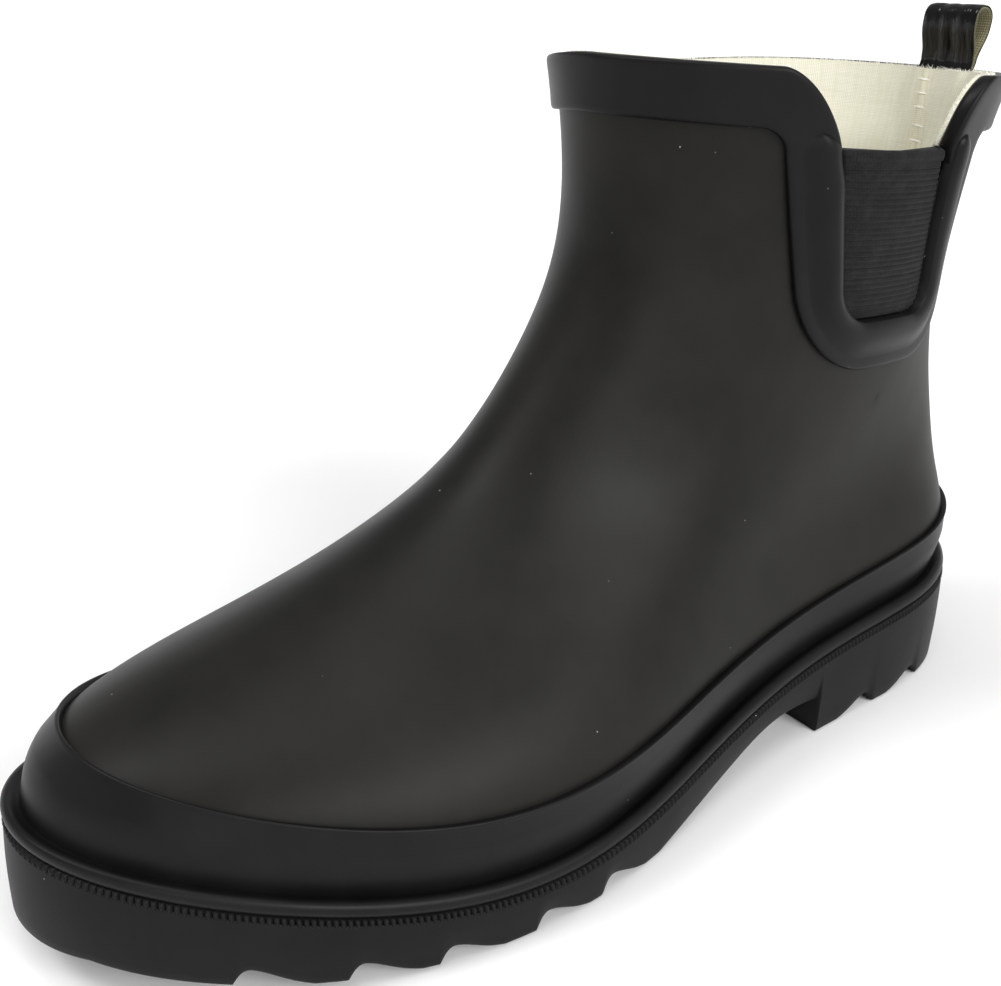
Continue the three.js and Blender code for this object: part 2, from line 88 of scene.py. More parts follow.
welt_drop = 4.6                 # top of the outsole below the welt line
overhang_top = 5.4              # outsole's edge outside the welt outline, at its top and at the ground
overhang_ground = 4.4
toe_flare = 2.4                 # more at the toe, at the ground
toe_spring = 12.0
heel_breast = 75.0
arch_height = 12.0
arch_end = 148.0
tread_depth = 3.8

strap_width = 17.0
strap_wall = 0.95
strap_offset = 3.5
loop_lean = 0.19                # radians back at rest
loop_shoulder = 11.2            # height at which the round top starts, above the flex line
loop_radius = 3.2

# ---------------------------------------------------------------- shape tables
# Stations are parts of the foot's length, or of the height from the welt line to the rim. Widths are
# parts of foot_width, profile shares are parts of the foot's length, and heights are millimetres.
width_stations = [0, 0.06, 0.15, 0.3, 0.45, 0.6, 0.75, 0.88, 1]
lateral_width = [0.974, 0.93, 0.789, 0.667, 0.754, 0.93, 1, 0.991, 0.991]
medial_width = [0.965, 0.921, 0.842, 0.632, 0.57, 0.763, 0.868, 0.939, 1]
sole_stations = [0, 0.27, 0.45, 0.68, 1]
welt_heights = [31, 27, 20, 15.5, 35.5]
foxing_heights = [16.5, 14, 16.5, 17, 18]
front_stations = [0, 0.082, 0.158, 0.233, 0.32, 0.395, 0.505, 0.636, 0.766, 1]
front_shares = [1.007, 0.990, 0.919, 0.776, 0.643, 0.586, 0.531, 0.485, 0.465, 0.465]
back_stations = [0, 0.095, 0.189, 0.327, 0.465, 0.64, 0.807, 1]
back_shares = [0.007, -0.008, -0.006, 0.0055, 0.022, 0.0386, 0.0294, 0.0037]
girth_stations = [-0.05, 0.1, 0.2, 0.337, 0.5, 0.705, 1]
girth_factors = [0.95, 1.04, 0.84, 0.69, 0.71, 0.79, 0.97]
shaft_start, shaft_blend, welt_warp = 0.069, 0.403, 0.35
forefoot_notches = [0.592, 0.663, 0.749, 0.82, 0.901]
heel_notches = [0.116, 0.197]

TAU = 2 * math.pi


# ---------------------------------------------------------------- curves
def spline(xs, ys):
    """Natural cubic spline through (xs, ys), carried on straight past both ends."""
    xs, ys = np.asarray(xs, float), np.asarray(ys, float)
    step = np.diff(xs)
    rise = np.diff(ys) / step
    system = np.diag(np.r_[1.0, 2 * (step[:-1] + step[1:]), 1.0])
    inner = np.arange(1, len(xs) - 1)
    system[inner, inner - 1] = step[:-1]
    system[inner, inner + 1] = step[1:]
    bend = np.linalg.solve(system, np.r_[0.0, 6 * np.diff(rise), 0.0])

    def value(x):
        x = np.asarray(x, float)
        inside = np.clip(x, xs[0], xs[-1])
        i = np.clip(np.searchsorted(xs, inside, side="left") - 1, 0, len(xs) - 2)
        u, v, k = xs[i + 1] - inside, inside - xs[i], step[i]
        low, high = bend[i], bend[i + 1]
        slope = rise[i] + (low * (k * k - 3 * u * u) + high * (3 * v * v - k * k)) / (6 * k)
        height = (low * u**3 + high * v**3) / (6 * k)
        height += (ys[i] / k - low * k / 6) * u + (ys[i + 1] / k - high * k / 6) * v
        return height + (x - inside) * slope

    return value


def shares(values, size):
    """A table of shares turned into lengths."""
    return [value * size for value in values]


lateral = spline(width_stations, shares(lateral_width, foot_width))
medial = spline(width_stations, shares(medial_width, foot_width))
welt_line = spline(shares(sole_stations, foot_length), welt_heights)
foxing_height = spline(shares(sole_stations, foot_length), foxing_heights)
front_profile = spline(front_stations, shares(front_shares, foot_length))
back_profile = spline(back_stations, shares(back_shares, foot_length))
girth = spline(girth_stations, girth_factors)
welt_back, welt_front = welt_heights[0], welt_heights[-1]


def smooth(t):
    """0 below 0, 1 above 1, and a soft S between."""
    t = np.clip(t, 0, 1)
    return t * t * (3 - 2 * t)


def blend(low, high, share):
    """The straight mix of two values."""
    return low + (high - low) * share


def rim_line(a):
    """Rim height at a: straight from heel to shin."""
    start = back_profile(1)
    return rim_back + (rim_front - rim_back) * (a - start) / (front_profile(1) - start)


def ground(a):
    """Height of the tread's lowest face: level, then the toe spring's parabola."""
    return toe_spring * np.clip((a / foot_length - 0.7) / 0.3, 0, 1) ** 2


def sole_top(a):
    """Top of the outsole."""
    return welt_line(a) - welt_drop


# ---------------------------------------------------------------- the boot's skin
def skin(theta, h):
    """Outer face of the upper: an oval between the back and front profiles, foot plan below and even
    shaft above. The rim tilts down on the inner side, most towards the front and not at all low down."""
    z_front = welt_front + (rim_front - welt_front) * h
    z_back = welt_back + (rim_back - welt_back) * h
    share = (1 - np.cos(theta)) / 2
    back = back_profile(h)
    a = back + (front_profile(h) - back) * share
    follow = np.clip(1 - h / welt_warp, 0, 1) ** 1.5
    z = z_back + (z_front - z_back) * share + follow * (welt_line(a) - blend(welt_back, welt_front, share))
    shaft = smooth((h - shaft_start) / shaft_blend)
    inner_side = np.clip(-np.sin(theta), 0, 1) ** 1.3
    z = z - rim_tilt * inner_side * smooth(share / 0.9) * np.clip(h, 0, 1.1) ** 3
    plan = np.where(np.sin(theta) >= 0, lateral(share), medial(share))
    x = np.sin(theta) * girth(h) * ((1 - shaft) * plan + shaft * shaft_radius)
    return np.stack(np.broadcast_arrays(x, foot_length / 2 - a, z), -1)


def unit(vectors):
    """Each vector scaled to length 1."""
    return vectors / np.linalg.norm(vectors, axis=-1, keepdims=True)


def rim_depth(theta, h):
    """Depth below the rim of a place on the shaft."""
    return (1 - h) * blend(rim_back - welt_back, rim_front - welt_front, (1 - np.cos(theta)) / 2)


def place(theta, h, out):
    """The skin moved out along its normal. Near the rim the move turns level, so layers end flush."""
    theta, h, out = np.broadcast_arrays(*(np.asarray(part, float) for part in (theta, h, out)))
    tiny = 1e-3
    around = skin(theta + tiny, h) - skin(theta - tiny, h)
    up = skin(theta, h + tiny) - skin(theta, h - tiny)
    normal = unit(np.cross(up, around))
    normal[..., 2] *= smooth(rim_depth(theta, h) / 12)
    return skin(theta, h) + unit(normal) * out[..., None]


def outline(theta, out):
    """The welt outline moved out in plan by out: its (x, a)."""
    theta, out = np.broadcast_arrays(np.asarray(theta, float), np.asarray(out, float))
    tiny = 1e-3
    along = skin(theta + tiny, 0.0) - skin(theta - tiny, 0.0)
    outward = unit(np.stack([-along[..., 1], along[..., 0]], -1))
    point = skin(theta, 0.0)[..., :2] + outward * out[..., None]
    return point[..., 0], foot_length / 2 - point[..., 1]


def at_height(x, a, z):
    """Points at the plan place (x, a) and the height z."""
    return np.stack(np.broadcast_arrays(x, foot_length / 2 - a, z), -1)


def even_thetas(count, length=TAU):
    """Angles that share the welt outline from 0 to length out in equal steps."""
    fine = np.linspace(0, length, 6001)
    steps = np.linalg.norm(np.diff(skin(fine, 0.0)[:, :2], axis=0), axis=1)
    run = np.r_[0, np.cumsum(steps)]
    ends = count + 1 if length < TAU else count
    return np.interp(run[-1] * np.arange(ends) / count, run, fine)


def height_share(theta, rise):
    """The h at which the skin is rise above the welt line, by halving the interval."""
    low, high = np.full(np.shape(theta), -0.1), np.full(np.shape(theta), 0.6)
    for _ in range(30):
        middle = (low + high) / 2
        point = skin(theta, middle)
        above = point[..., 2] - welt_line(foot_length / 2 - point[..., 1]) > rise
        low, high = np.where(above, low, middle), np.where(above, middle, high)
    return (low + high) / 2


# ---------------------------------------------------------------- lines at the rim and the gore
def beside_gore(across, depth):
    """A place given across from the gore's leaning centre line and down from the rim, as (theta, h)."""
    a = gore_centre - gore_lean * (depth - gore_top) + across
    z = rim_line(a) - depth
    h = 1 - np.asarray(depth, float) / rim_back
    for _ in range(40):
        back = back_profile(h)
        share = np.clip((a - back) / (front_profile(h) - back), 0, 1)
        low = blend(welt_back, welt_front, share)
        h = (z - low) / (blend(rim_back, rim_front, share) - low)
    return np.arccos(1 - 2 * share), h


def gore_leg(grow):
    """The gore's U grown by a margin, rear top corner to front top corner, as (across, depth): straight
    legs, quarter-circle corners and a level floor."""
    leg, corner, base = 24, 20, 14
    half, radius = gore_half + grow, gore_corner + grow
    level = gore_bottom + grow - radius
    turn = np.linspace(0, math.pi / 2, corner, endpoint=False)
    rear = [(-half + 0 * turn[:1], gore_top + 0 * turn[:1])]
    down = np.linspace(gore_top, level, leg, endpoint=False)[1:]
    rear.append((-half + 0 * down, down))
    rear.append((-half + radius * (1 - np.cos(turn)), level + radius * np.sin(turn)))
    floor = np.linspace(-(half - radius), half - radius, base, endpoint=False)
    across = np.concatenate([part[0] for part in rear] + [floor])
    depth = np.concatenate([part[1] for part in rear] + [level + radius + 0 * floor])
    front = len(across) - base
    across = np.r_[across, half - radius, -across[:front][::-1]]
    return across, np.r_[depth, level + radius, depth[:front][::-1]]


dip_steps = 36


def shoulder(side, length):
    """The rim's dip beside the gore, a superellipse from the rim down to the leg's top."""
    turn = np.linspace(math.pi / 2, 0, dip_steps, endpoint=False)
    out = length * (1 - np.cos(turn) ** (2 / dip_power))
    return side * (gore_half + out), gore_top * (1 - np.sin(turn) ** (2 / dip_power))


def fillet(side):
    """The corner between the trim's band and its leg, a quarter circle in step with shoulder()."""
    turn = np.linspace(0, math.pi / 2, dip_steps, endpoint=False)
    out = trim_fillet * (1 - np.sin(turn))
    return side * (gore_half + collar_band + out), collar_band + trim_fillet * (1 - np.cos(turn))


def rim_loop(ends, leg, depth, round_steps=420):
    """A line once round the boot: down one shoulder, round the gore's U, up the other and round the rim."""
    rear, front = ends
    across = np.r_[rear[0], leg[0], front[0][::-1]]
    down = np.r_[rear[1], leg[1], front[1][::-1]]
    theta, h = beside_gore(across, down)
    start, _ = beside_gore(np.array([rear[0][0], front[0][0]]), np.array([depth, depth]))
    way = np.linspace(start[1], start[0] + TAU, round_steps, endpoint=False)[1:]
    drop = blend(rim_back - welt_back, rim_front - welt_front, (1 - np.cos(way)) / 2)
    return np.r_[theta, way], np.r_[h, 1 - depth / drop]


opening = rim_loop((shoulder(-1, dip_rear), shoulder(1, dip_front)), gore_leg(0.0), 0.0)
trim_edge = rim_loop((fillet(-1), fillet(1)), gore_leg(collar_band), collar_band)
band_width = np.linalg.norm(skin(*opening) - skin(*trim_edge), axis=-1)
gore_steps = len(gore_leg(0.0)[0])


def on_band(inwards, out, margin):
    """A line along the trim: inwards millimetres from the opening (positive) or from the outer edge
    (negative), and margin more, and out from the skin."""
    share = np.where(inwards >= 0, inwards, band_width + inwards) / band_width
    share = share + margin / band_width
    return place(blend(opening[0], trim_edge[0], share), blend(opening[1], trim_edge[1], share), out)


# ---------------------------------------------------------------- meshes
def grid_faces(rows, columns, close_rows=False, close_columns=False):
    """The quads of a grid of points. A closed direction joins its last line to its first."""
    i = np.arange(rows if close_rows else rows - 1)
    j = np.arange(columns if close_columns else columns - 1)
    i, j = np.meshgrid(i, j, indexing="ij")
    k, m = (i + 1) % rows, (j + 1) % columns
    return np.stack([i * columns + j, i * columns + m, k * columns + m, k * columns + j], -1).reshape(-1, 4)


def sweep(points, joined):
    """A closed section carried along a path. An open path is shut at each end by a fan to the middle."""
    stations, sides, _ = points.shape
    faces = grid_faces(stations, sides, joined, True)
    flat = points.reshape(-1, 3)
    if joined:
        return flat, faces
    hub = stations * sides
    j = np.arange(sides)
    k = (j + 1) % sides
    last = hub - sides
    head = np.stack([k, j, np.full(sides, hub), np.full(sides, hub)], -1)
    tail = np.stack([last + j, last + k, np.full(sides, hub + 1), np.full(sides, hub + 1)], -1)
    return np.vstack([flat, points[[0, -1]].mean(axis=1)]), np.vstack([faces, head, tail])


def gather(parts):
    """Several (points, faces) shapes as one."""
    starts = np.cumsum([0] + [len(points) for points, _ in parts[:-1]])
    points = np.vstack([points for points, _ in parts])
    return points, np.vstack([faces + start for start, (_, faces) in zip(starts, parts)])


def volume(points, faces):
    """Signed volume inside a closed surface: positive when its faces point outwards."""
    a, b, c, d = (points[faces[:, k]] for k in range(4))
    return (np.einsum("ij,ij->i", a, np.cross(b, c)) + np.einsum("ij,ij->i", a, np.cross(c, d))).sum() / 6


def find_shift():
    """The boot's own frame against the CAD frame: the welt strip's box against the same outline."""
    low, high = (np.array(corner) * 1000 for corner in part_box("welt_strip"))
    x, a = outline(TAU * np.arange(48) / 48, overhang_top + 0.4)
    middle = [(x.min() + x.max()) / 2, foot_length / 2 - (a.min() + a.max()) / 2]
    return np.r_[(low + high)[:2] / 2 - middle, 0.0]


shift = find_shift()


def make(name, shape, finish, stands_for=(), uv=None, turn=None, crease=38, body="boot"):
    """Makes a piece of a shape in millimetres. Points that meet are welded, and faces point outwards.
    uv holds a place on the cloth for each point, in millimetres; turn is its length once round."""
    points, faces = shape
    if volume(points, faces) < 0:
        faces = faces[:, ::-1]
    mesh = bpy.data.meshes.new(name)
    rings = [list(dict.fromkeys(face)) for face in faces.tolist()]
    mesh.from_pydata(((points + shift) / 1000).tolist(), [], rings)
    if uv is not None:
        lay_uv(mesh, np.asarray(uv, float), turn)
    work = bmesh.new()
    work.from_mesh(mesh)
    bmesh.ops.remove_doubles(work, verts=work.verts, dist=2e-6)
    work.to_mesh(mesh)
    work.free()
    mesh.polygons.foreach_set("use_smooth", np.ones(len(mesh.polygons), bool))
    mesh.set_sharp_from_angle(angle=math.radians(crease))
    mesh.materials.append(finish)
    piece = bpy.data.objects.new(name, mesh)
    bpy.context.scene.collection.objects.link(piece)
    if body:
        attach(piece, body)
    if stands_for:
        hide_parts(*stands_for)
    return piece


def cloth_map(across, along):
    """The cloth place of each point of an open sweep: its grid, then the middles of its two ends."""
    grid = np.stack(np.broadcast_arrays(across, along), -1)
    return np.vstack([grid.reshape(-1, 2), grid[[0, -1]].mean(axis=1)])


def lay_uv(mesh, uv, turn):
    """Writes the cloth map. A face that crosses the seam takes the places one turn further on."""
    corners = np.empty(len(mesh.loops), int)
    mesh.loops.foreach_get("vertex_index", corners)
    places = uv[corners]
    if turn:
        starts = np.empty(len(mesh.polygons), int)
        sizes = np.empty(len(mesh.polygons), int)
        mesh.polygons.foreach_get("loop_start", starts)
        mesh.polygons.foreach_get("loop_total", sizes)
        furthest = np.repeat(np.maximum.reduceat(places[:, 0], starts), sizes)
        places[:, 0] += turn * (furthest - places[:, 0] > turn / 2)
    mesh.uv_layers.new(name="cloth").data.foreach_set("uv", (places / 1000).ravel())


# ---------------------------------------------------------------- finishes
def linear(hex_colour):
    """An sRGB hex colour as linear light, with alpha."""
    parts = [int(hex_colour[k:k + 2], 16) / 255 for k in (1, 3, 5)]
    return [part / 12.92 if part <= 0.04045 else ((part + 0.055) / 1.055) ** 2.4 for part in parts] + [1.0]


def plug(tree, made, inputs):
    """Fills a node's sockets, each with a value or with another node's output."""
    for name, value in inputs.items():
        if isinstance(value, bpy.types.NodeSocket):
            tree.links.new(value, made.inputs[name])
        else:
            made.inputs[name].default_value = value


def node(tree, kind, inputs=(), **settings):
    """Adds a node. settings are its properties, and inputs fill its sockets."""
    made = tree.nodes.new("ShaderNode" + kind)
    for name, value in settings.items():
        setattr(made, name, value)
    plug(tree, made, dict(inputs))
    return made


def new_finish(name):
    """An empty material with a shader joined to its output: (material, tree, shader)."""
    material = bpy.data.materials.new(name)
    material.use_nodes = True
    tree = material.node_tree
    tree.nodes.clear()
    shader = node(tree, "BsdfPrincipled")
    node(tree, "OutputMaterial", {"Surface": shader.outputs["BSDF"]})
    return material, tree, shader


def per_metre(size_mm):
    """Texture scale that repeats every size_mm."""
    return 1000.0 / size_mm


def rubber(name, dark, light, roughness, grain_mm, grain_depth, specular, specks, bloom):
    """Vulcanised natural rubber, compression moulded or hand laid: near black and matt, so broad soft
    highlights. The eye gets faint cloudy bloom, a fine pebble grain, and stray white dust specks."""
    material, tree, shader = new_finish(name)
    where = node(tree, "TexCoord").outputs["Object"]
    cloud = node(tree, "TexNoise", {"Vector": where, "Scale": per_metre(55), "Detail": 4.0, "Roughness": 0.6})
    veil = node(tree, "TexNoise", {"Vector": where, "Scale": per_metre(9), "Detail": 3.0, "Roughness": 0.55})
    drift = node(tree, "MapRange", {"Value": cloud.outputs["Fac"], "From Min": 0.35, "From Max": 0.68})
    base = node(tree, "Mix", {0: drift.outputs["Result"], 6: linear(dark), 7: linear(light)},
                data_type="RGBA")
    haze = node(tree, "Math", {0: veil.outputs["Fac"], 1: bloom}, operation="MULTIPLY")
    hazed = node(tree, "Mix", {0: haze.outputs["Value"], 6: base.outputs[2], 7: linear("#4a4841")},
                 data_type="RGBA")
    dust = node(tree, "TexVoronoi", {"Vector": where, "Scale": per_metre(8.5)})
    seen = node(tree, "MapRange", {"Value": dust.outputs["Distance"], "From Min": specks,
                                   "From Max": specks * 0.6})
    dusty = node(tree, "Mix", {0: seen.outputs["Result"], 6: hazed.outputs[2], 7: linear("#9d9c95")},
                 data_type="RGBA")
    scuff = node(tree, "MapRange", {"Value": cloud.outputs["Fac"], "From Min": 0.3, "From Max": 0.7,
                                    "To Min": roughness - 0.05, "To Max": roughness + 0.07})
    grain = node(tree, "TexNoise", {"Vector": where, "Scale": per_metre(grain_mm), "Detail": 2.0})
    swell = node(tree, "TexNoise", {"Vector": where, "Scale": per_metre(26), "Detail": 1.0})
    fine = node(tree, "Bump", {"Height": grain.outputs["Fac"], "Strength": 0.35,
                               "Distance": grain_depth / 1000})
    wavy = node(tree, "Bump", {"Height": swell.outputs["Fac"], "Strength": 0.5, "Distance": 0.0012,
                               "Normal": fine.outputs["Normal"]})
    plug(tree, shader, {"Base Color": dusty.outputs[2], "Roughness": scuff.outputs["Result"],
                        "Normal": wavy.outputs["Normal"], "Specular IOR Level": specular, "IOR": 1.52})
    return material


def woven(name, thread, gap, thread_mm, depth_mm, slub=0.35):
    """Plain-weave cotton canvas: round warp and weft threads over and under. The eye gets a fine square
    weave, uneven slubby threads and a chalky, fuzzy face. Threads are drawn a little coarse to show."""
    material, tree, shader = new_finish(name)
    flat = node(tree, "UVMap", uv_map="cloth").outputs["UV"]
    parts = node(tree, "SeparateXYZ", {"Vector": flat})
    stretch_u = node(tree, "Mapping", {"Vector": flat, "Scale": (per_metre(14), per_metre(1.1), 1.0)})
    stretch_v = node(tree, "Mapping", {"Vector": flat, "Scale": (per_metre(1.1), per_metre(14), 1.0)})
    weft_slub = node(tree, "TexNoise", {"Vector": stretch_u.outputs["Vector"], "Scale": 1.0, "Detail": 2.0})
    warp_slub = node(tree, "TexNoise", {"Vector": stretch_v.outputs["Vector"], "Scale": 1.0, "Detail": 2.0})
    phases = []
    for axis in ("X", "Y"):
        angle = node(tree, "Math", {0: parts.outputs[axis], 1: TAU * per_metre(thread_mm) / 2},
                     operation="MULTIPLY")
        phases.append(node(tree, "Math", {0: angle.outputs["Value"]}, operation="SINE").outputs["Value"])
    cross = node(tree, "Math", {0: phases[0], 1: phases[1]}, operation="MULTIPLY")
    lift = node(tree, "Math", {0: cross.outputs["Value"]}, operation="ABSOLUTE")
    bands = node(tree, "Math", {0: weft_slub.outputs["Fac"], 1: warp_slub.outputs["Fac"]}, operation="ADD")
    uneven = node(tree, "MapRange", {"Value": bands.outputs["Value"], "From Min": 0.75, "From Max": 1.25,
                                     "To Min": 1 - slub, "To Max": 1.0})
    crown = node(tree, "Math", {0: lift.outputs["Value"], 1: uneven.outputs["Result"]}, operation="MULTIPLY")
    tone = node(tree, "MapRange", {"Value": crown.outputs["Value"], "From Min": 0.0, "From Max": 0.75})
    colour = node(tree, "Mix", {0: tone.outputs["Result"], 6: linear(gap), 7: linear(thread)},
                  data_type="RGBA")
    raised = node(tree, "Bump", {"Height": crown.outputs["Value"], "Strength": 0.7,
                                 "Distance": depth_mm / 1000})
    plug(tree, shader, {"Base Color": colour.outputs[2], "Normal": raised.outputs["Normal"],
                        "Roughness": 0.92, "Specular IOR Level": 0.2, "Sheen Weight": 0.2,
                        "Sheen Roughness": 0.6})
    return material


def plain(name, dark, light, patch_mm, roughness, bump_mm=0.1, metallic=0.0, stretch=(1.0, 1.0, 1.0)):
    """A hidden working material with two tones in patches of its own size: foam cells, pressed fibres or
    drawn steel. The eye gets the broken tone and the fine relief."""
    material, tree, shader = new_finish(name)
    where = node(tree, "Mapping", {"Vector": node(tree, "TexCoord").outputs["Object"], "Scale": stretch})
    patch = node(tree, "TexNoise", {"Vector": where.outputs["Vector"], "Scale": per_metre(patch_mm),
                                    "Detail": 5.0, "Roughness": 0.65})
    share = node(tree, "MapRange", {"Value": patch.outputs["Fac"], "From Min": 0.35, "From Max": 0.65})
    colour = node(tree, "Mix", {0: share.outputs["Result"], 6: linear(dark), 7: linear(light)},
                  data_type="RGBA")
    raised = node(tree, "Bump", {"Height": patch.outputs["Fac"], "Strength": 0.5, "Distance": bump_mm / 1000})
    plug(tree, shader, {"Base Color": colour.outputs[2], "Normal": raised.outputs["Normal"],
                        "Roughness": roughness, "Metallic": metallic})
    return material


def elastic_web():
    """Knitted elastic webbing of covered rubber threads: the ribs are modelled, and the eye gets the
    small stitches along each rib and a dull, slightly lint-grey nap."""
    material, tree, shader = new_finish("covered_rubber_elastic_webbing")
    flat = node(tree, "UVMap", uv_map="cloth").outputs["UV"]
    stitches = node(tree, "Mapping", {"Vector": flat, "Scale": (per_metre(0.9), per_metre(0.58), 1.0)})
    knit = node(tree, "TexVoronoi", {"Vector": stitches.outputs["Vector"], "Scale": 1.0, "Randomness": 0.35})
    lint = node(tree, "TexNoise", {"Vector": node(tree, "TexCoord").outputs["Object"],
                                   "Scale": per_metre(3.5), "Detail": 6.0, "Roughness": 0.7})
    fleck = node(tree, "MapRange", {"Value": lint.outputs["Fac"], "From Min": 0.45, "From Max": 0.75,
                                    "To Max": 0.5})
    loop = node(tree, "MapRange", {"Value": knit.outputs["Distance"], "From Min": 0.1, "From Max": 0.6,
                                   "To Min": 1.0, "To Max": 0.0})
    yarn = node(tree, "Mix", {0: loop.outputs["Result"], 6: linear("#0b0b0c"), 7: linear("#1b1a1c")},
                data_type="RGBA")
    worn = node(tree, "Mix", {0: fleck.outputs["Result"], 6: yarn.outputs[2], 7: linear("#2b2a2c")},
                data_type="RGBA")
    raised = node(tree, "Bump", {"Height": loop.outputs["Result"], "Strength": 0.6, "Distance": 0.00009})
    plug(tree, shader, {"Base Color": worn.outputs[2], "Normal": raised.outputs["Normal"],
                        "Roughness": 0.85, "Specular IOR Level": 0.16, "Sheen Weight": 0.04})
    return material


def coated_tape():
    """Cotton tape with a calendered patent coat: deep black and glossy. The eye gets sharp streaks of
    light and shallow creases along the strap."""
    material, tree, shader = new_finish("patent_coated_cotton_tape")
    where = node(tree, "TexCoord").outputs["Object"]
    along = node(tree, "Mapping", {"Vector": where, "Scale": (per_metre(3.2), per_metre(8), per_metre(16))})
    crease = node(tree, "TexNoise", {"Vector": along.outputs["Vector"], "Scale": 1.0, "Detail": 3.0})
    bent = node(tree, "Bump", {"Height": crease.outputs["Fac"], "Strength": 0.7, "Distance": 0.0014})
    wear = node(tree, "MapRange", {"Value": crease.outputs["Fac"], "From Min": 0.4, "From Max": 0.75,
                                   "To Min": 0.14, "To Max": 0.3})
    tone = node(tree, "Mix", {0: crease.outputs["Fac"], 6: linear("#050505"), 7: linear("#121112")},
                data_type="RGBA")
    plug(tree, shader, {"Base Color": tone.outputs[2], "Roughness": wear.outputs["Result"],
                        "Normal": bent.outputs["Normal"], "Specular IOR Level": 0.22})
    return material


# Soft sheen with a brown cast: sheet rubber laid by hand and cured on the last.
upper_rubber = rubber("hand_laid_vulcanised_rubber", "#0b0b0a", "#191815", 0.45, 0.55, 0.05, 0.14,
                      specks=0.026, bloom=0.06)
# A little tighter sheen and a neutral black, from a smooth mould.
moulded_rubber = rubber("moulded_rubber_trim", "#0a090a", "#100f10", 0.4, 0.5, 0.04, 0.13,
                        specks=0.022, bloom=0.05)
# The dullest black of the three, with the deepest pebble from the mould.
sole_rubber = rubber("compression_moulded_sole_rubber", "#0b0a0b", "#121112", 0.48, 0.45, 0.07, 0.11,
                     specks=0.022, bloom=0.06)
# Unbleached canvas, cream and slubby; an evener tape of the same cotton; and the strap's khaki backing.
lining_canvas = woven("cotton_canvas_lining", "#f0eddf", "#d3d0bb", 0.5, 0.14, slub=0.7)
tape_canvas = woven("cotton_seam_tape", "#eeead6", "#d2ceb6", 0.5, 0.14)
strap_canvas = woven("cotton_tape_backing", "#b3ad8a", "#6d694b", 0.7, 0.25, slub=0.6)
# Loose cotton ends, whiter than the cloth they come from.
fringe_cotton = plain("teased_cotton_fibre", "#e4e2d6", "#fbfaf4", 2.0, 0.95)
elastic = elastic_web()
strap_coat = coated_tape()
# The hidden working materials: tan pressed board, pale foam, stiff ochre felt and rolled grey steel.
fibre_board = plain("pressed_fibre_board", "#a58a66", "#c4aa84", 1.4, 0.9)
foam = plain("open_cell_eva_foam", "#c9c4b1", "#e2decf", 0.7, 0.95, 0.25)
stiffener = plain("resin_stiffened_felt", "#b9ae8b", "#d3c9a8", 0.9, 0.88, 0.15)
steel = plain("cold_rolled_spring_steel", "#85888e", "#9a9da3", 0.5, 0.36, 0.02, 1.0, (1.0, 0.08, 1.0))


# ---------------------------------------------------------------- upper
def shell_layer(edge_in, outer, inner, rows=138, inner_rows=26):
    """A wall of the upper from its top edge down to the sole. Each column runs straight, in (theta, h),
    from the edge line to its own place on the welt outline, and the columns that start round the gore
    share out the outline below it, so that none cross."""
    edge = [blend(opening[k], trim_edge[k], edge_in / band_width) for k in (0, 1)]
    run = np.r_[0, np.cumsum(np.linalg.norm(np.diff(skin(*edge), axis=0), axis=1))]
    ahead = gore_steps + 2 * dip_steps
    side = 34
    first, last = len(run) - side, ahead + side
    around = np.r_[run[first:] - run[-1] - 1, run[:last + 1]]
    landing = edge[0].copy()
    low, high = edge[0][first] - TAU, edge[0][last]
    spread = blend(low, high, (around - around[0]) / (around[-1] - around[0]))
    landing[:last + 1] = spread[side:]
    landing[first:] = spread[:side] + TAU
    down = np.linspace(0, 1, rows)[None, :]
    theta = blend(edge[0][:, None], landing[:, None], down)
    h = edge[1][:, None] * (1 - down)
    few = np.round(np.linspace(0, rows - 1, inner_rows)).astype(int)
    out, back = outer(theta, h), inner(theta, h)
    outside = place(theta, h, out)[:, ::-1]
    inside = place(theta, h, back)[:, few]
    x, a = outline(landing[:, None], np.stack([back[:, -1], out[:, -1]], -1))
    foot = at_height(x, a, sole_top(a) + 0.3)
    points = np.concatenate([outside, inside, foot], axis=1)
    angle = np.concatenate([theta[:, ::-1], theta[:, few], theta[:, -1:], theta[:, -1:]], axis=1)
    level = np.concatenate([h[:, ::-1], h[:, few], h[:, -1:], h[:, -1:]], axis=1)
    cloth = np.stack([angle * shaft_radius, level * rim_back], -1)
    return sweep(points, True), cloth.reshape(-1, 2)


def upper_shell():
    """The rubber upper: 2 mm thick, its top edge under the trim's rolled rim."""
    shape, _ = shell_layer(1.2, lambda theta, h: 0 * h, lambda theta, h: 0 * h - wall)
    return make("upper_shell", shape, upper_rubber, ["upper_shell"])


def lining_depth(theta, h):
    """The lining's outer face: against the rubber at the rim, further in below, over the counter and puff,
    and pushed in behind the strap's tails at the heel."""
    deep = blend(lining_gap, 3.6, smooth((rim_depth(theta, h) - 10) / 14))
    beside = np.abs(skin(theta, h)[..., 0] - strap_offset) - strap_width / 2
    behind = smooth((3.5 - beside) / 3.5) * (np.cos(theta) > 0) * smooth((60 - rim_depth(theta, h)) / 20)
    return -blend(deep, np.maximum(deep, 4.15), behind)


def lining():
    """The canvas sock, 1 mm thick, bonded inside the rubber and cut level with the rim."""
    shape, cloth = shell_layer(0.15, lining_depth, lambda theta, h: lining_depth(theta, h) - lining_wall,
                               rows=80, inner_rows=80)
    return make("lining", shape, lining_canvas, ["lining"], uv=cloth,
                turn=TAU * shaft_radius)


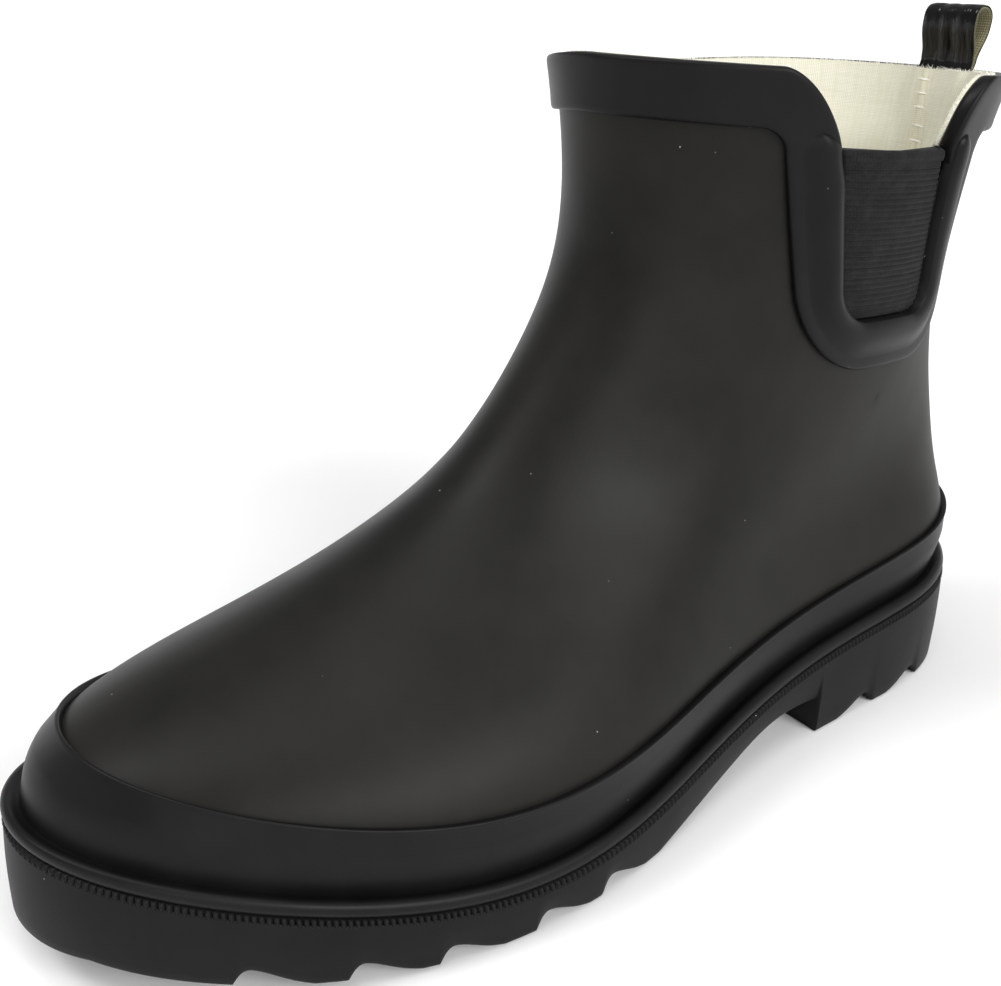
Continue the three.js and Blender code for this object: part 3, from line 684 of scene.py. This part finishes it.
def collar_trim():
    """The band round the rim and the gore: flat, its lower edge a rounded step, its rim rolled over the
    upper's edge. Each section point is (millimetres in from the rim or, negative, from the outer edge,
    millimetres out from the skin)."""
    edge = [(-0.9, 0.02), (-0.25, 0.03), (-0.05, 0.35), (-0.01, 0.85), (-0.08, 1.3), (-0.3, 1.62),
            (-0.65, 1.82), (-1.2, 1.93), (-2.0, 1.95), (-3.4, 1.88)]
    rim = [(4.2, 1.88), (3.0, 1.92), (1.8, 1.93), (1.0, 1.88), (0.5, 1.74), (0.16, 1.44), (0.03, 1.0),
           (0.0, -0.3), (0.02, -1.0), (0.12, -1.55), (0.35, -1.9), (0.7, -2.0), (1.1, -2.0), (1.1, 0.02),
           (4.0, 0.02)]
    inset = np.zeros(len(band_width))
    across, depth = gore_leg(0.0)
    inset[dip_steps:dip_steps + gore_steps] = 0.75 * smooth((depth - gore_top) / 5)
    section = [on_band(inwards, out, inset if inwards >= 0 else 0.0) for inwards, out in edge + rim]
    return make("collar_trim", sweep(np.stack(section, 1), True), moulded_rubber,
                ["collar_trim"], crease=50)


def gore_ridge():
    """The moulded U beside the elastic: a soft mound whose outer flank runs out into the trim, with
    rounded finger-tip ends. The tips shrink as a half circle in plan and in height."""
    inner, outer = gore_leg(-0.25), gore_leg(ridge_width)
    turn = np.linspace(math.pi / 2, 0, 14, endpoint=False)
    middle, half = gore_half + (ridge_width - 0.25) / 2, (ridge_width + 0.25) / 2
    top = gore_top - half * np.sin(turn)
    near, far = middle - half * np.cos(turn), middle + half * np.cos(turn)
    lines = []
    for line, reach in ((inner, near), (outer, far)):
        lines.append((np.r_[-reach, line[0], reach[::-1]], np.r_[top, line[1], top[::-1]]))
    across, depth = lines[0]
    lines[0] = across + np.sign(across) * 0.95 * smooth((gore_top + 7 - depth) / 7), depth
    height = np.r_[np.cos(turn), np.ones(len(inner[0])), np.cos(turn)[::-1]] ** 0.7
    crest = 0.34
    v = np.linspace(0, 1, 26) ** 1.3
    inner_side = 1 - np.clip((crest - v) / crest, 0, 1) ** 2.6
    outer_side = (0.5 + 0.5 * np.cos(math.pi * np.clip((v - crest) / (1 - crest), 0, 1))) ** 0.8
    mound = np.where(v < crest, 0.25 + 0.75 * inner_side, outer_side)
    face = trim_top - 0.03 + ridge_rise * mound
    v = np.r_[0.0, v, 1.0, 0.6, 0.2, 0.0]
    rise = np.r_[-1.2, face, trim_top - 0.2, trim_top - 0.4, trim_top - 0.6, -2.2]
    across = blend(lines[0][0][:, None], lines[1][0][:, None], v)
    depth = blend(lines[0][1][:, None], lines[1][1][:, None], v)
    shrink = height[:, None]
    out = 1.0 + (rise - 1.0) * np.where(rise > 1.0, shrink, shrink**2)
    theta, h = beside_gore(across, depth)
    return make("gore_ridge", sweep(place(theta, h, out), False), moulded_rubber,
                ["gore_ridge"], crease=60)


rib_pitch = 1.4
elastic_wall = 1.0
seam_catch = 2.6                # elastic caught under the trim, at its sides and its foot


def elastic_out(across, depth):
    """The elastic's outer face behind the skin: it bellies out in the middle, more towards the front."""
    x = np.clip(across / gore_half, -1, 1)
    y = np.clip((depth - gore_top) / (gore_bottom - gore_top), 0, 1)
    start = smooth((1 - np.abs(x)) / 0.07) * smooth((1 - y) / 0.02)
    belly = (1 - x**2) ** 0.6 * (0.55 + 0.45 * np.sin(math.pi * np.clip(y * 0.9 + 0.05, 0, 1)))
    return -2.3 + start * (2.2 + 0.6 * belly)


def gore_elastic():
    """The elastic panel: horizontal ribs 1.4 mm apart on both faces, over a bellied sheet 1 mm thick. A
    rib is a power of a cosine of the depth."""
    reach = gore_half + seam_catch
    across = np.linspace(-reach, reach, 49)[None, :]
    depth = np.linspace(gore_top - 0.3, gore_bottom + seam_catch, 300)[:, None]
    across, depth = np.broadcast_arrays(across, depth)
    lip = np.clip((np.abs(across) - gore_half) / seam_catch, 0, 1)
    rib = 0.36 * (np.abs(np.cos(math.pi * depth / rib_pitch)) ** 0.7 - 0.5) * (1 - lip)
    hem = smooth((depth - gore_top - 3.1) / 0.4)
    face = elastic_out(across, depth) + rib * hem
    theta, h = beside_gore(across, depth)
    front, back = place(theta, h, face), place(theta, h, face - elastic_wall)
    points = np.concatenate([front, back[:, ::-1]], axis=1)
    uv = cloth_map(*(np.concatenate([grid, grid[:, ::-1]], axis=1) for grid in (across, depth)))
    return make("gore_elastic", sweep(points, False), elastic, ["gore_elastic"], uv=uv,
                crease=70)


def gore_binding():
    """The hem folded over the elastic's top edge: a flat hairpin of the same webbing."""
    across = np.linspace(-gore_half + 0.1, gore_half - 0.1, 61)[:, None]
    bottom = gore_top + 1.9
    turn = np.linspace(0, math.pi, 9)
    depth = np.r_[bottom, bottom, bottom - 0.3, gore_top + 0.6, gore_top + 0.2 - 0.9 * np.sin(turn),
                  gore_top + 0.6, bottom, bottom, gore_top + 0.5, gore_top + 0.1, gore_top + 0.1,
                  gore_top + 0.5]
    over = np.r_[0.05, 0.22, 0.34, 0.38, -0.45 + 0.8 * np.cos(turn),
                 -1.6, -1.6, -1.1, -1.05, -1.0, 0.05, 0.06]
    base = elastic_out(across, np.full_like(across, gore_top + 1.5))
    theta, h = beside_gore(*np.broadcast_arrays(across, depth[None, :]))
    points = place(theta, h, base + over[None, :])
    uv = cloth_map(across, np.arange(len(depth)) * 0.5)
    return make("gore_binding", sweep(points, False), elastic, ["gore_binding"], uv=uv,
                crease=60)


# ---------------------------------------------------------------- foxing, bead and serrated strip
foxing_wall = 1.3
heel_draw = 0.27


def foxing_band():
    """The wrapped band round the foot: a thin rolled lip on its top edge, a faintly hollow face, and a
    parabola outwards where it meets the bead, except at the heel, where the whole band is drawn in.
    Sections run up the outside; rises are above the welt line."""
    theta = even_thetas(720)
    top = foxing_height(foot_length / 2 - skin(theta, 0.1)[:, 1])[:, None]
    below = np.array([1.4, 0.9, 0.55, 0.25, 0.05, 0.0, 0.12])[None, :]
    lip = [1.34, 1.55, 1.7, 1.72, 1.5, 0.95, 0.1]
    share = np.linspace(0, 1, 14)[None, :]
    foot = -2.7
    rises = np.concatenate([foot + (top - 5.5 - foot) * share, top - below, top - 3.0,
                            np.full_like(top, foot)], axis=1)
    flare = 0.7 * np.clip(1 - share[0] / 0.5, 0, 1) ** 2
    outs = np.r_[foxing_wall - 0.1 * np.sin(math.pi * share[0]), lip, 0.05, 0.05]
    heel = np.clip(np.cos(theta), 0, 1)[:, None] ** 8
    outs = outs[None, :] - heel_draw * heel
    outs[:, :flare.size] += flare * (1 - heel)
    h = height_share(np.broadcast_to(theta[:, None], rises.shape), rises)
    return make("foxing_band", sweep(place(theta[:, None], h, outs), True), moulded_rubber,
                ["foxing_band"], crease=50)


def welt_profile(theta, outs, rises):
    """A section of (out, rise) points carried round the welt outline."""
    x, a = outline(theta[:, None], np.asarray(outs)[None, :])
    return at_height(x, a, welt_line(a) + np.asarray(rises)[None, :])


bead_reach = 1.65
bead_rise = 2.05


def welt_bead():
    """The round bead between foxing and sole: full below, its top falling back to the foxing in an S.
    Its face is most of a half ellipse, bead_reach out and bead_rise high."""
    turn = np.linspace(-math.pi / 2, math.pi * 0.62, 15)
    crown = overhang_top - 1.7
    outs = np.r_[1.0, crown + bead_reach * np.cos(turn), 2.4, 1.8, 1.0]
    rises = np.r_[-1.0 - bead_rise, -1.0 + bead_rise * np.sin(turn), 0.55, 0.4, 0.4]
    return make("welt_bead", sweep(welt_profile(even_thetas(560), outs, rises), True), moulded_rubber,
                ["welt_bead"], crease=55)


tooth_pitch = 1.45
tooth_depth = 0.9


def welt_strip():
    """The serrated strip under the bead: upright rounded teeth, one tooth_pitch apart all the way round.
    Each tooth's face swells and dips in four steps along the outline, most at its middle height."""
    length = np.linalg.norm(np.diff(skin(np.linspace(0, TAU, 2000), 0.0)[:, :2], axis=0), axis=1).sum()
    teeth = int(round(length / tooth_pitch))
    theta = even_thetas(teeth * 4)
    swell = np.tile([0.0, 0.75, 1.0, 0.75], teeth)[:, None]
    outs = overhang_top + np.array([-4, -0.8, -0.35, -0.25, -0.35, -0.8, -4])[None, :]
    depth = np.array([0.0, 0.35, 0.82, tooth_depth, 0.82, 0.35, 0.0])[None, :]
    rises = np.array([-5.5, -5.45, -5.0, -4.2, -3.35, -2.95, -2.9])[None, :]
    x, a = outline(theta[:, None], outs + (swell - 0.55) * depth)
    return make("welt_strip", sweep(at_height(x, a, welt_line(a) + rises), True), sole_rubber,
                ["welt_strip"], crease=80)


# ---------------------------------------------------------------- outsole
notch_run = [-13, -8, -3.5, -1, 0.6, 2, 3.4]
notch_share = [-0.05, 0.3, 0.8, 1, 0.96, 0.6, -0.05]
notch_wave = spline(notch_run, notch_share)
arch_wave = spline([heel_breast, heel_breast + 18, (heel_breast + arch_end) / 2, arch_end],
                   [arch_height - 1, arch_height, 8, -1])
pocket_inset = 9.0
heel_pocket_floor = 9.0
fore_pocket_floor = 6.5         # above the ground line
slot_half = 7.5                 # half of the shank slot's width
slot_depth = 2.1
edge_round = 0.8                # the corner at the ground


def tread(x, a, edge):
    """Height of the sole's under face: the ground line, then the deepest of the notches, the arch, the
    centre channel and, away from the edge, shallow cross sipes on each lug."""
    depth = np.zeros(np.broadcast(x, a).shape)
    rise = tread_depth / 0.95
    for stations, facing in ((forefoot_notches, 1), (heel_notches, -1)):
        for station in stations:
            along = facing * (a - station * foot_length)
            inside = (along > notch_run[0]) & (along < notch_run[-1])
            depth = np.maximum(depth, np.where(inside, rise * notch_wave(along), 0))
            sipe = facing * along - facing * 9.5
            slit = 0.9 * np.exp(-(sipe / 0.55) ** 4) * smooth((edge - 9) / 2)
            depth = np.maximum(depth, slit)
    channel = 0.6 * tread_depth * smooth((2.3 - np.abs(x)) / 0.5)
    depth = np.maximum(depth, channel * smooth((a - arch_end) / 2) * smooth((0.95 * foot_length - a) / 4))
    z = ground(a) + depth
    return np.where((a > heel_breast) & (a < arch_end), np.maximum(z, arch_wave(a)), z)


def paired(theta, outs, inner_x):
    """Lines across the foot from the outer side to the inner side: both outlines at each out, then the
    given x places between them, drawn in where the foot is narrow. Gives x, a and the distance from
    the edge."""
    left_x, left_a = outline(theta[:, None], np.atleast_2d(outs))
    right_x, right_a = outline(TAU - theta[:, None], np.atleast_2d(outs))
    start, end = left_x[:, -1:], right_x[:, -1:]
    share = np.clip((start - np.asarray(inner_x)[None, :]) / np.maximum(start - end, 1e-6), 0, 1)
    room = smooth((start - end) / 30)
    even = np.linspace(0, 1, share.shape[1] + 2)[1:-1][None, :]
    share = blend(even, share, room)
    x = np.concatenate([left_x, blend(start, end, share), right_x[:, ::-1]], axis=1)
    a = np.concatenate([left_a, blend(left_a[:, -1:], right_a[:, -1:], share), right_a[:, ::-1]], axis=1)
    edge = np.minimum(left_x[:, :1] - x, x - right_x[:, :1])
    return x, a, np.maximum(edge, 0)


def outsole():
    """The lugged sole: a side wall between its top and ground outlines, an under face in lines across
    the foot, and a top face with the two filler pockets and the shank's slot. Corners at the ground are
    rounded."""
    theta = even_thetas(900, math.pi)
    theta[[0, -1]] = [1e-4, math.pi - 1e-4]
    across = [30, 22, 15, 9, 4.5, 2.6, 2.3, 1.8, 0, -1.8, -2.3, -2.6, -4.5, -9, -15, -22, -30]
    foot_out = overhang_ground + toe_flare * np.clip(-np.cos(theta), 0, 1)[:, None] ** 4
    x, a, edge = paired(theta, foot_out - np.array([[0, 0.25, edge_round, 2.5]]), across)
    under = tread(x, a, edge)
    lift = np.array([edge_round, 0.25, 0.0, 0.0])
    under[:, :4] += lift
    under[:, -4:] += lift[::-1]
    levels = np.linspace(0, 1, 10)[1:-1]
    sides = []
    for turn in (theta, TAU - theta):
        out = blend(foot_out, overhang_top, levels) + 0.3 * np.sin(math.pi * levels)
        side_x, side_a = outline(turn[:, None], out)
        foot_x, foot_a = outline(turn, foot_out[:, 0])
        low = tread(foot_x, foot_a, 0 * foot_x) + edge_round
        sides.append(at_height(side_x, side_a, blend(low[:, None], sole_top(side_a), levels[None, :])))
    rim_outs = [overhang_top, overhang_top - 0.4, 0.1 - pocket_inset, -0.1 - pocket_inset]
    slot_sides = [slot_half + 0.1, slot_half - 0.1, 0, 0.1 - slot_half, -0.1 - slot_half]
    top_x, top_a, _ = paired(theta, rim_outs, slot_sides)
    inside = np.zeros(top_x.shape, bool)
    inside[:, 3:-3] = True
    heel = inside & (top_a > 4) & (top_a < heel_breast - 12)
    fore = inside & (top_a > arch_end + 7) & (top_a < 0.94 * foot_length)
    slot = inside & (np.abs(top_x) < slot_half) & (top_a > heel_breast - 6) & (top_a < arch_end - 2)
    top_z = np.where(slot, sole_top(top_a) - slot_depth, sole_top(top_a))
    top_z = np.where(heel, heel_pocket_floor, np.where(fore, ground(top_a) + fore_pocket_floor, top_z))
    top_z[:, [0, -1]] -= 0.4
    section = np.concatenate([at_height(x, a, under), sides[1], at_height(top_x, top_a, top_z)[:, ::-1],
                              sides[0][:, ::-1]], axis=1)
    return make("outsole", sweep(section, False), sole_rubber, ["outsole"], crease=42)


# ---------------------------------------------------------------- inside the foot
def floor_pad(name, finish, out, low, thick, cup, stands_for, woven_top=False):
    """A pad on the insole: lines across the foot, its top dished so that the edge stands cup higher, and
    its corners rounded by a quarter circle. A woven top ripples a little, as a sine both ways."""
    theta = even_thetas(150, math.pi)
    theta[[0, -1]] = [1e-3, math.pi - 1e-3]
    across = np.linspace(26, -26, 17)
    soft = min(thick / 2, 1.0)
    turn = np.linspace(0, math.pi / 2, 4)
    outs = np.r_[out - soft * (1 - np.cos(turn)), out - soft - 2, out - soft - 6]
    x, a, edge = paired(theta, outs, across)
    dish = cup * (1 - smooth(edge / 16))
    bend = np.r_[soft * (1 - np.sin(turn)), 0, 0]
    drop = np.zeros(x.shape)
    drop[:, :6] += bend
    drop[:, -6:] += bend[::-1]
    quilt = 0.12 * np.sin(x * 0.9) * np.sin(a * 0.9) * smooth(edge / 6) if woven_top else 0.0
    top = at_height(x, a, sole_top(a) + low + thick - drop + dish + quilt)
    bottom = at_height(x, a, sole_top(a) + low + drop * 0.5 + dish)[:, ::-1]
    both = [np.concatenate([grid, grid[:, ::-1]], axis=1) for grid in (x, a)]
    return make(name, sweep(np.concatenate([top, bottom], axis=1), False), finish, stands_for,
                uv=cloth_map(*both) if woven_top else None)


seam_tape_half = 2.8
seam_tape_depth = 95.0
stitch_pitch = 4.3


def seam_place(across, depth):
    """(theta, h) at the back of the shaft: across from the heel's seam, which leans a little, and down
    from the rim."""
    h = 1 - depth / (rim_back - welt_back)
    x = blend(-1.6, 2.2, smooth(depth / 24)) + across
    return np.arcsin(x / (shaft_radius * girth(h))), h


def lining_tape():
    """The tape over the lining's seam at the heel: 5.6 mm wide and thin, with the seam's own ridge
    standing 2 mm wide along its middle."""
    across = np.linspace(-seam_tape_half, seam_tape_half, 29)
    depth = np.linspace(0.2, seam_tape_depth, 160)[:, None]
    ridge = 0.42 * np.exp(-(across / 0.95) ** 4)
    edge = smooth((seam_tape_half - np.abs(across)) / 0.5)
    face = np.r_[-0.12 - 0.16 * edge - ridge, np.full(29, -0.02)]
    both = np.r_[across, across[::-1]][None, :]
    theta, h = seam_place(both, depth)
    points = place(theta, h, lining_depth(theta, h) - lining_wall + face[None, :])
    return make("lining_tape", sweep(points, False), tape_canvas, ["lining_tape"],
                uv=cloth_map(both, depth))


def tape_stitches():
    """Bar stitches across the seam tape, 4.3 mm apart: flattened capsules that climb over its ridge."""
    along = np.linspace(-1, 1, 13)[:, None]
    turn = (TAU * np.arange(6) / 6)[None, :]
    fat = 0.27 * np.sqrt(np.clip(1 - along**6, 0.02, 1))
    climb = 0.5 * np.exp(-(2.7 * along / 1.1) ** 4)
    beads = []
    for step in range(21):
        depth = 3.1 + stitch_pitch * step + 0.25 * math.sin(9.1 * step) + 0.22 * along + fat * np.cos(turn)
        theta, h = seam_place(2.7 * along + 0 * turn, depth)
        out = lining_depth(theta, h) - lining_wall - 0.2 - climb - 0.7 * fat * np.sin(turn)
        beads.append(sweep(place(theta, h, out), False))
    return make("tape_stitches", gather(beads), fringe_cotton)


def frayed_edge():
    """The teased fibres that stand up from the lining's cut edge: thin tapered three-sided hairs, each
    bowed as a parabola, with the places, leans and lengths drawn from a seeded generator."""
    draw = np.random.default_rng(11)
    count = 2600
    pick = draw.integers(0, len(band_width), count)
    nudge = draw.uniform(0, 1, count)
    after = (pick + 1) % len(band_width)
    turn_after = np.where(after == 0, opening[0][after] + TAU, opening[0][after])
    theta = blend(opening[0][pick], turn_after, nudge)
    h = blend(opening[1][pick], opening[1][after], nudge)
    deep = lining_depth(theta, h)
    seat = place(theta, h, deep - draw.uniform(0.1, lining_wall - 0.1, count))
    lean = place(theta, h, deep) - place(theta, h, deep - 1.0)
    away = unit(np.stack([draw.normal(0, 0.55, count), draw.normal(0, 0.55, count),
                          np.abs(draw.normal(0.9, 0.35, count)) + 0.15], -1) - 0.25 * lean)
    length = draw.gamma(2.4, 0.15, count)
    length *= np.where((opening[1][pick] > 0.999) & (theta < math.pi), 0.3, 1.0)
    bow = draw.normal(0, 0.35, (count, 3)) * length[:, None]
    side = unit(np.cross(away, draw.normal(0, 1, (count, 3))))
    third = np.cross(away, side)
    rings = []
    for share, thick in ((-0.15, 0.07), (0.5, 0.055), (1.0, 0.02)):
        centre = seat + away * (length * share)[:, None] + bow * (max(share, 0) ** 2)
        rings.append(np.stack([centre + thick * (math.cos(k) * side + math.sin(k) * third)
                               for k in (0.0, TAU / 3, 2 * TAU / 3)], 1))
    points = np.stack(rings, 1).reshape(-1, 3)
    one = np.vstack([grid_faces(3, 3, False, True), [[2, 1, 0, 0], [6, 7, 8, 8]]])
    faces = (one[None] + 9 * np.arange(count)[:, None, None]).reshape(-1, 4)
    return make("frayed_edge", (points, faces), fringe_cotton)


# ---------------------------------------------------------------- pull loop
flex_a = float(back_profile(1)) + 2.8
flex_z = float(rim_line(flex_a)) + 1.75


def strap_line(steps=26):
    """Centre line of the strap in side view, tail to tail: up the back, over the round top and down the
    front, each side a smooth curve from the flex line out to the loop's width, and all of it leaning
    back above that line."""
    rise = spline([-9, -2, 2.6, 7.5, loop_shoulder], [0.5, 0.5, 1.0, 2.9, loop_radius])
    up = np.linspace(-9, loop_shoulder, steps)
    turn = np.linspace(0, math.pi, 17)[1:-1]
    along = np.r_[rise(up), loop_radius * np.cos(turn), -rise(up[::-1])]
    height = np.r_[up, loop_shoulder + loop_radius * np.sin(turn), up[::-1]]
    lean = loop_lean * smooth((height + 1) / 4)
    return along * np.cos(lean) + height * np.sin(lean), height * np.cos(lean) - along * np.sin(lean)


def strap_layer(name, finish, inner, outer, stands_for):
    """One layer of the looped tape, 17 mm wide: the strap's line moved out by its own normal, with the
    edges rounded, the face dished and two shallow lengthwise creases."""
    along, height = strap_line()
    tangent = np.stack([np.gradient(along), np.gradient(height)], -1)
    tangent /= np.linalg.norm(tangent, axis=1, keepdims=True)
    normal = np.stack([tangent[:, 1], -tangent[:, 0]], -1)
    across = np.linspace(-1, 1, 33)
    width = strap_width / 2
    fold = -0.35 * np.exp(-((across - 0.12) / 0.09) ** 2) - 0.3 * np.exp(-((across + 0.38) / 0.1) ** 2)
    ease = smooth((height + 1) / 5)[:, None]
    below = np.minimum(height, 0)
    lean = back_profile(1 + below / (rim_back - welt_back)) - back_profile(1) + 0.25 * smooth(-below / 2)
    sway = fold[None, :] * ease * (0.6 + 0.4 * np.sin(height / 4.0))[:, None]
    pinch = 0.9 * smooth((np.abs(across) - 0.86) / 0.14)
    middle, half = (inner + outer) / 2, (outer - inner) / 2
    faces = []
    for sign, order in ((1, slice(None)), (-1, slice(None, None, -1))):
        move = middle + sign * half * (1 - pinch[None, :] * 0.8) + sway
        y = (along - lean)[:, None] + normal[:, :1] * move
        z = height[:, None] + normal[:, 1:] * move
        x = np.broadcast_to(strap_offset + width * across[None, :], y.shape)
        faces.append(np.stack([x, foot_length / 2 - flex_a + y, flex_z + z], -1)[:, order])
    points = np.concatenate(faces, axis=1)
    run = np.r_[0, np.cumsum(np.hypot(np.diff(along), np.diff(height)))]
    uv = cloth_map(np.r_[across, across[::-1]][None, :] * width, run[:, None])
    piece = make(name, sweep(points, False), finish, stands_for, uv=uv, crease=60, body=None)
    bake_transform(piece)
    return piece


# ---------------------------------------------------------------- the boot
upper_shell()
lining()
collar_trim()
gore_ridge()
gore_elastic()
gore_binding()
foxing_band()
welt_bead()
welt_strip()
outsole()
lining_tape()
tape_stitches()
frayed_edge()
footbed = floor_pad("footbed", foam, -5.4, 2.6, 4.5, 0.8, ["footbed"])
floor_pad("footbed_cover", lining_canvas, -5.0, 7.4, 0.8, 1.4, ["footbed_cover"],
          woven_top=True)
strap_layer("pull_loop", strap_coat, -0.05, strap_wall / 2, ["pull_loop"])
strap_layer("pull_loop_backing", strap_canvas, -strap_wall / 2, -0.05, [])

hidden_finishes = {
    "heel_filler": foam, "forefoot_filler": foam, "shank": steel, "insole_board": fibre_board,
    "toe_puff": stiffener, "heel_counter": stiffener, "strap_anchor": strap_coat,
}
for name, finish in hidden_finishes.items():
    cad_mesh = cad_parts[name].data
    cad_mesh.materials.clear()
    cad_mesh.materials.append(finish)


# ---------------------------------------------------------------- floor, light and camera
def floor():
    """A plain pale studio floor, level for 8 m round the boot and curving up at its rim like a paper
    sweep."""
    material, tree, shader = new_finish("pale_studio_paper")
    where = node(tree, "TexCoord").outputs["Object"]
    drift = node(tree, "TexNoise", {"Vector": where, "Scale": 0.8, "Detail": 2.0})
    tone = node(tree, "Mix", {0: drift.outputs["Fac"], 6: linear("#f6f6f5"), 7: linear("#fbfbfa")},
                data_type="RGBA")
    plug(tree, shader, {"Base Color": tone.outputs[2], "Roughness": 0.9, "Specular IOR Level": 0.1})
    far = np.array([3.0, 8.0, 9.2, 10.2, 11.0, 11.6, 12.0])
    rise = np.array([0.0, 0.0, 0.12, 0.45, 0.95, 1.6, 2.3]) - 0.0002
    turn = TAU * np.arange(96) / 96
    rings = np.stack(np.broadcast_arrays(far[:, None] * np.cos(turn), far[:, None] * np.sin(turn),
                                         rise[:, None]), -1)
    faces = grid_faces(len(far), len(turn), False, True)[:, ::-1].tolist() + [list(range(len(turn)))]
    mesh = bpy.data.meshes.new("studio_floor")
    mesh.from_pydata(rings.reshape(-1, 3).tolist(), [], faces)
    mesh.shade_smooth()
    mesh.materials.append(material)
    piece = bpy.data.objects.new("studio_floor", mesh)
    bpy.context.scene.collection.objects.link(piece)


eye_azimuth, eye_elevation, eye_roll = 56.288, 23.571, -1.326      # degrees
eye_place = np.array([246.749, -180.805, 208.55])                  # millimetres, in the boot's own frame
eye_focal = 47.243


def towards(azimuth, elevation):
    """The unit direction from the boot to an azimuth, from the toe round the outer side, and elevation,
    in degrees."""
    turn, tilt = math.radians(azimuth), math.radians(elevation)
    return np.array([math.sin(turn) * math.cos(tilt), -math.cos(turn) * math.cos(tilt), math.sin(tilt)])


def softbox(name, azimuth, elevation, spread, strength):
    """A large far softbox: a soft sun that shines from an azimuth and elevation, spread degrees wide."""
    light = bpy.data.lights.new(name, "SUN")
    light.angle = math.radians(spread)
    light.energy = strength
    lamp = bpy.data.objects.new(name, light)
    back = towards(azimuth, elevation)
    lamp.matrix_world = looking(back, back, 0.0)
    bpy.context.scene.collection.objects.link(lamp)


def looking(back, position, roll):
    """A matrix at position that looks along -back, rolled by an angle in degrees."""
    right = np.cross([0, 0, 1], back)
    right /= np.linalg.norm(right)
    up = np.cross(back, right)
    c, s = math.cos(math.radians(roll)), math.sin(math.radians(roll))
    across, tall = c * right + s * up, c * up - s * right
    return Matrix([[across[k], tall[k], back[k], position[k]] for k in range(3)] + [[0, 0, 0, 1]])


def camera():
    """A three-quarter view from the toe's outer side, a little above the boot."""
    lens = bpy.data.cameras.new("view")
    lens.sensor_width, lens.lens = 36.0, eye_focal
    lens.clip_start, lens.clip_end = 0.01, 50
    eye = bpy.data.objects.new("view", lens)
    eye.matrix_world = looking(towards(eye_azimuth, eye_elevation), (eye_place + shift) / 1000, eye_roll)
    bpy.context.scene.collection.objects.link(eye)
    bpy.context.scene.camera = eye


floor()
camera()
softbox("key", 97, 28, 36, 2.3)
softbox("toe", -22, 59, 18, 0.9)
softbox("instep", 56, 13, 16, 0.5)
softbox("top", 60, 82, 40, 0.9)
world = bpy.data.worlds.new("studio")
bpy.context.scene.world = world
world.use_nodes = True
world.node_tree.nodes["Background"].inputs["Color"].default_value = linear("#f2f4f5")
world.node_tree.nodes["Background"].inputs["Strength"].default_value = 0.46
bpy.context.scene.view_settings.view_transform = "Standard"
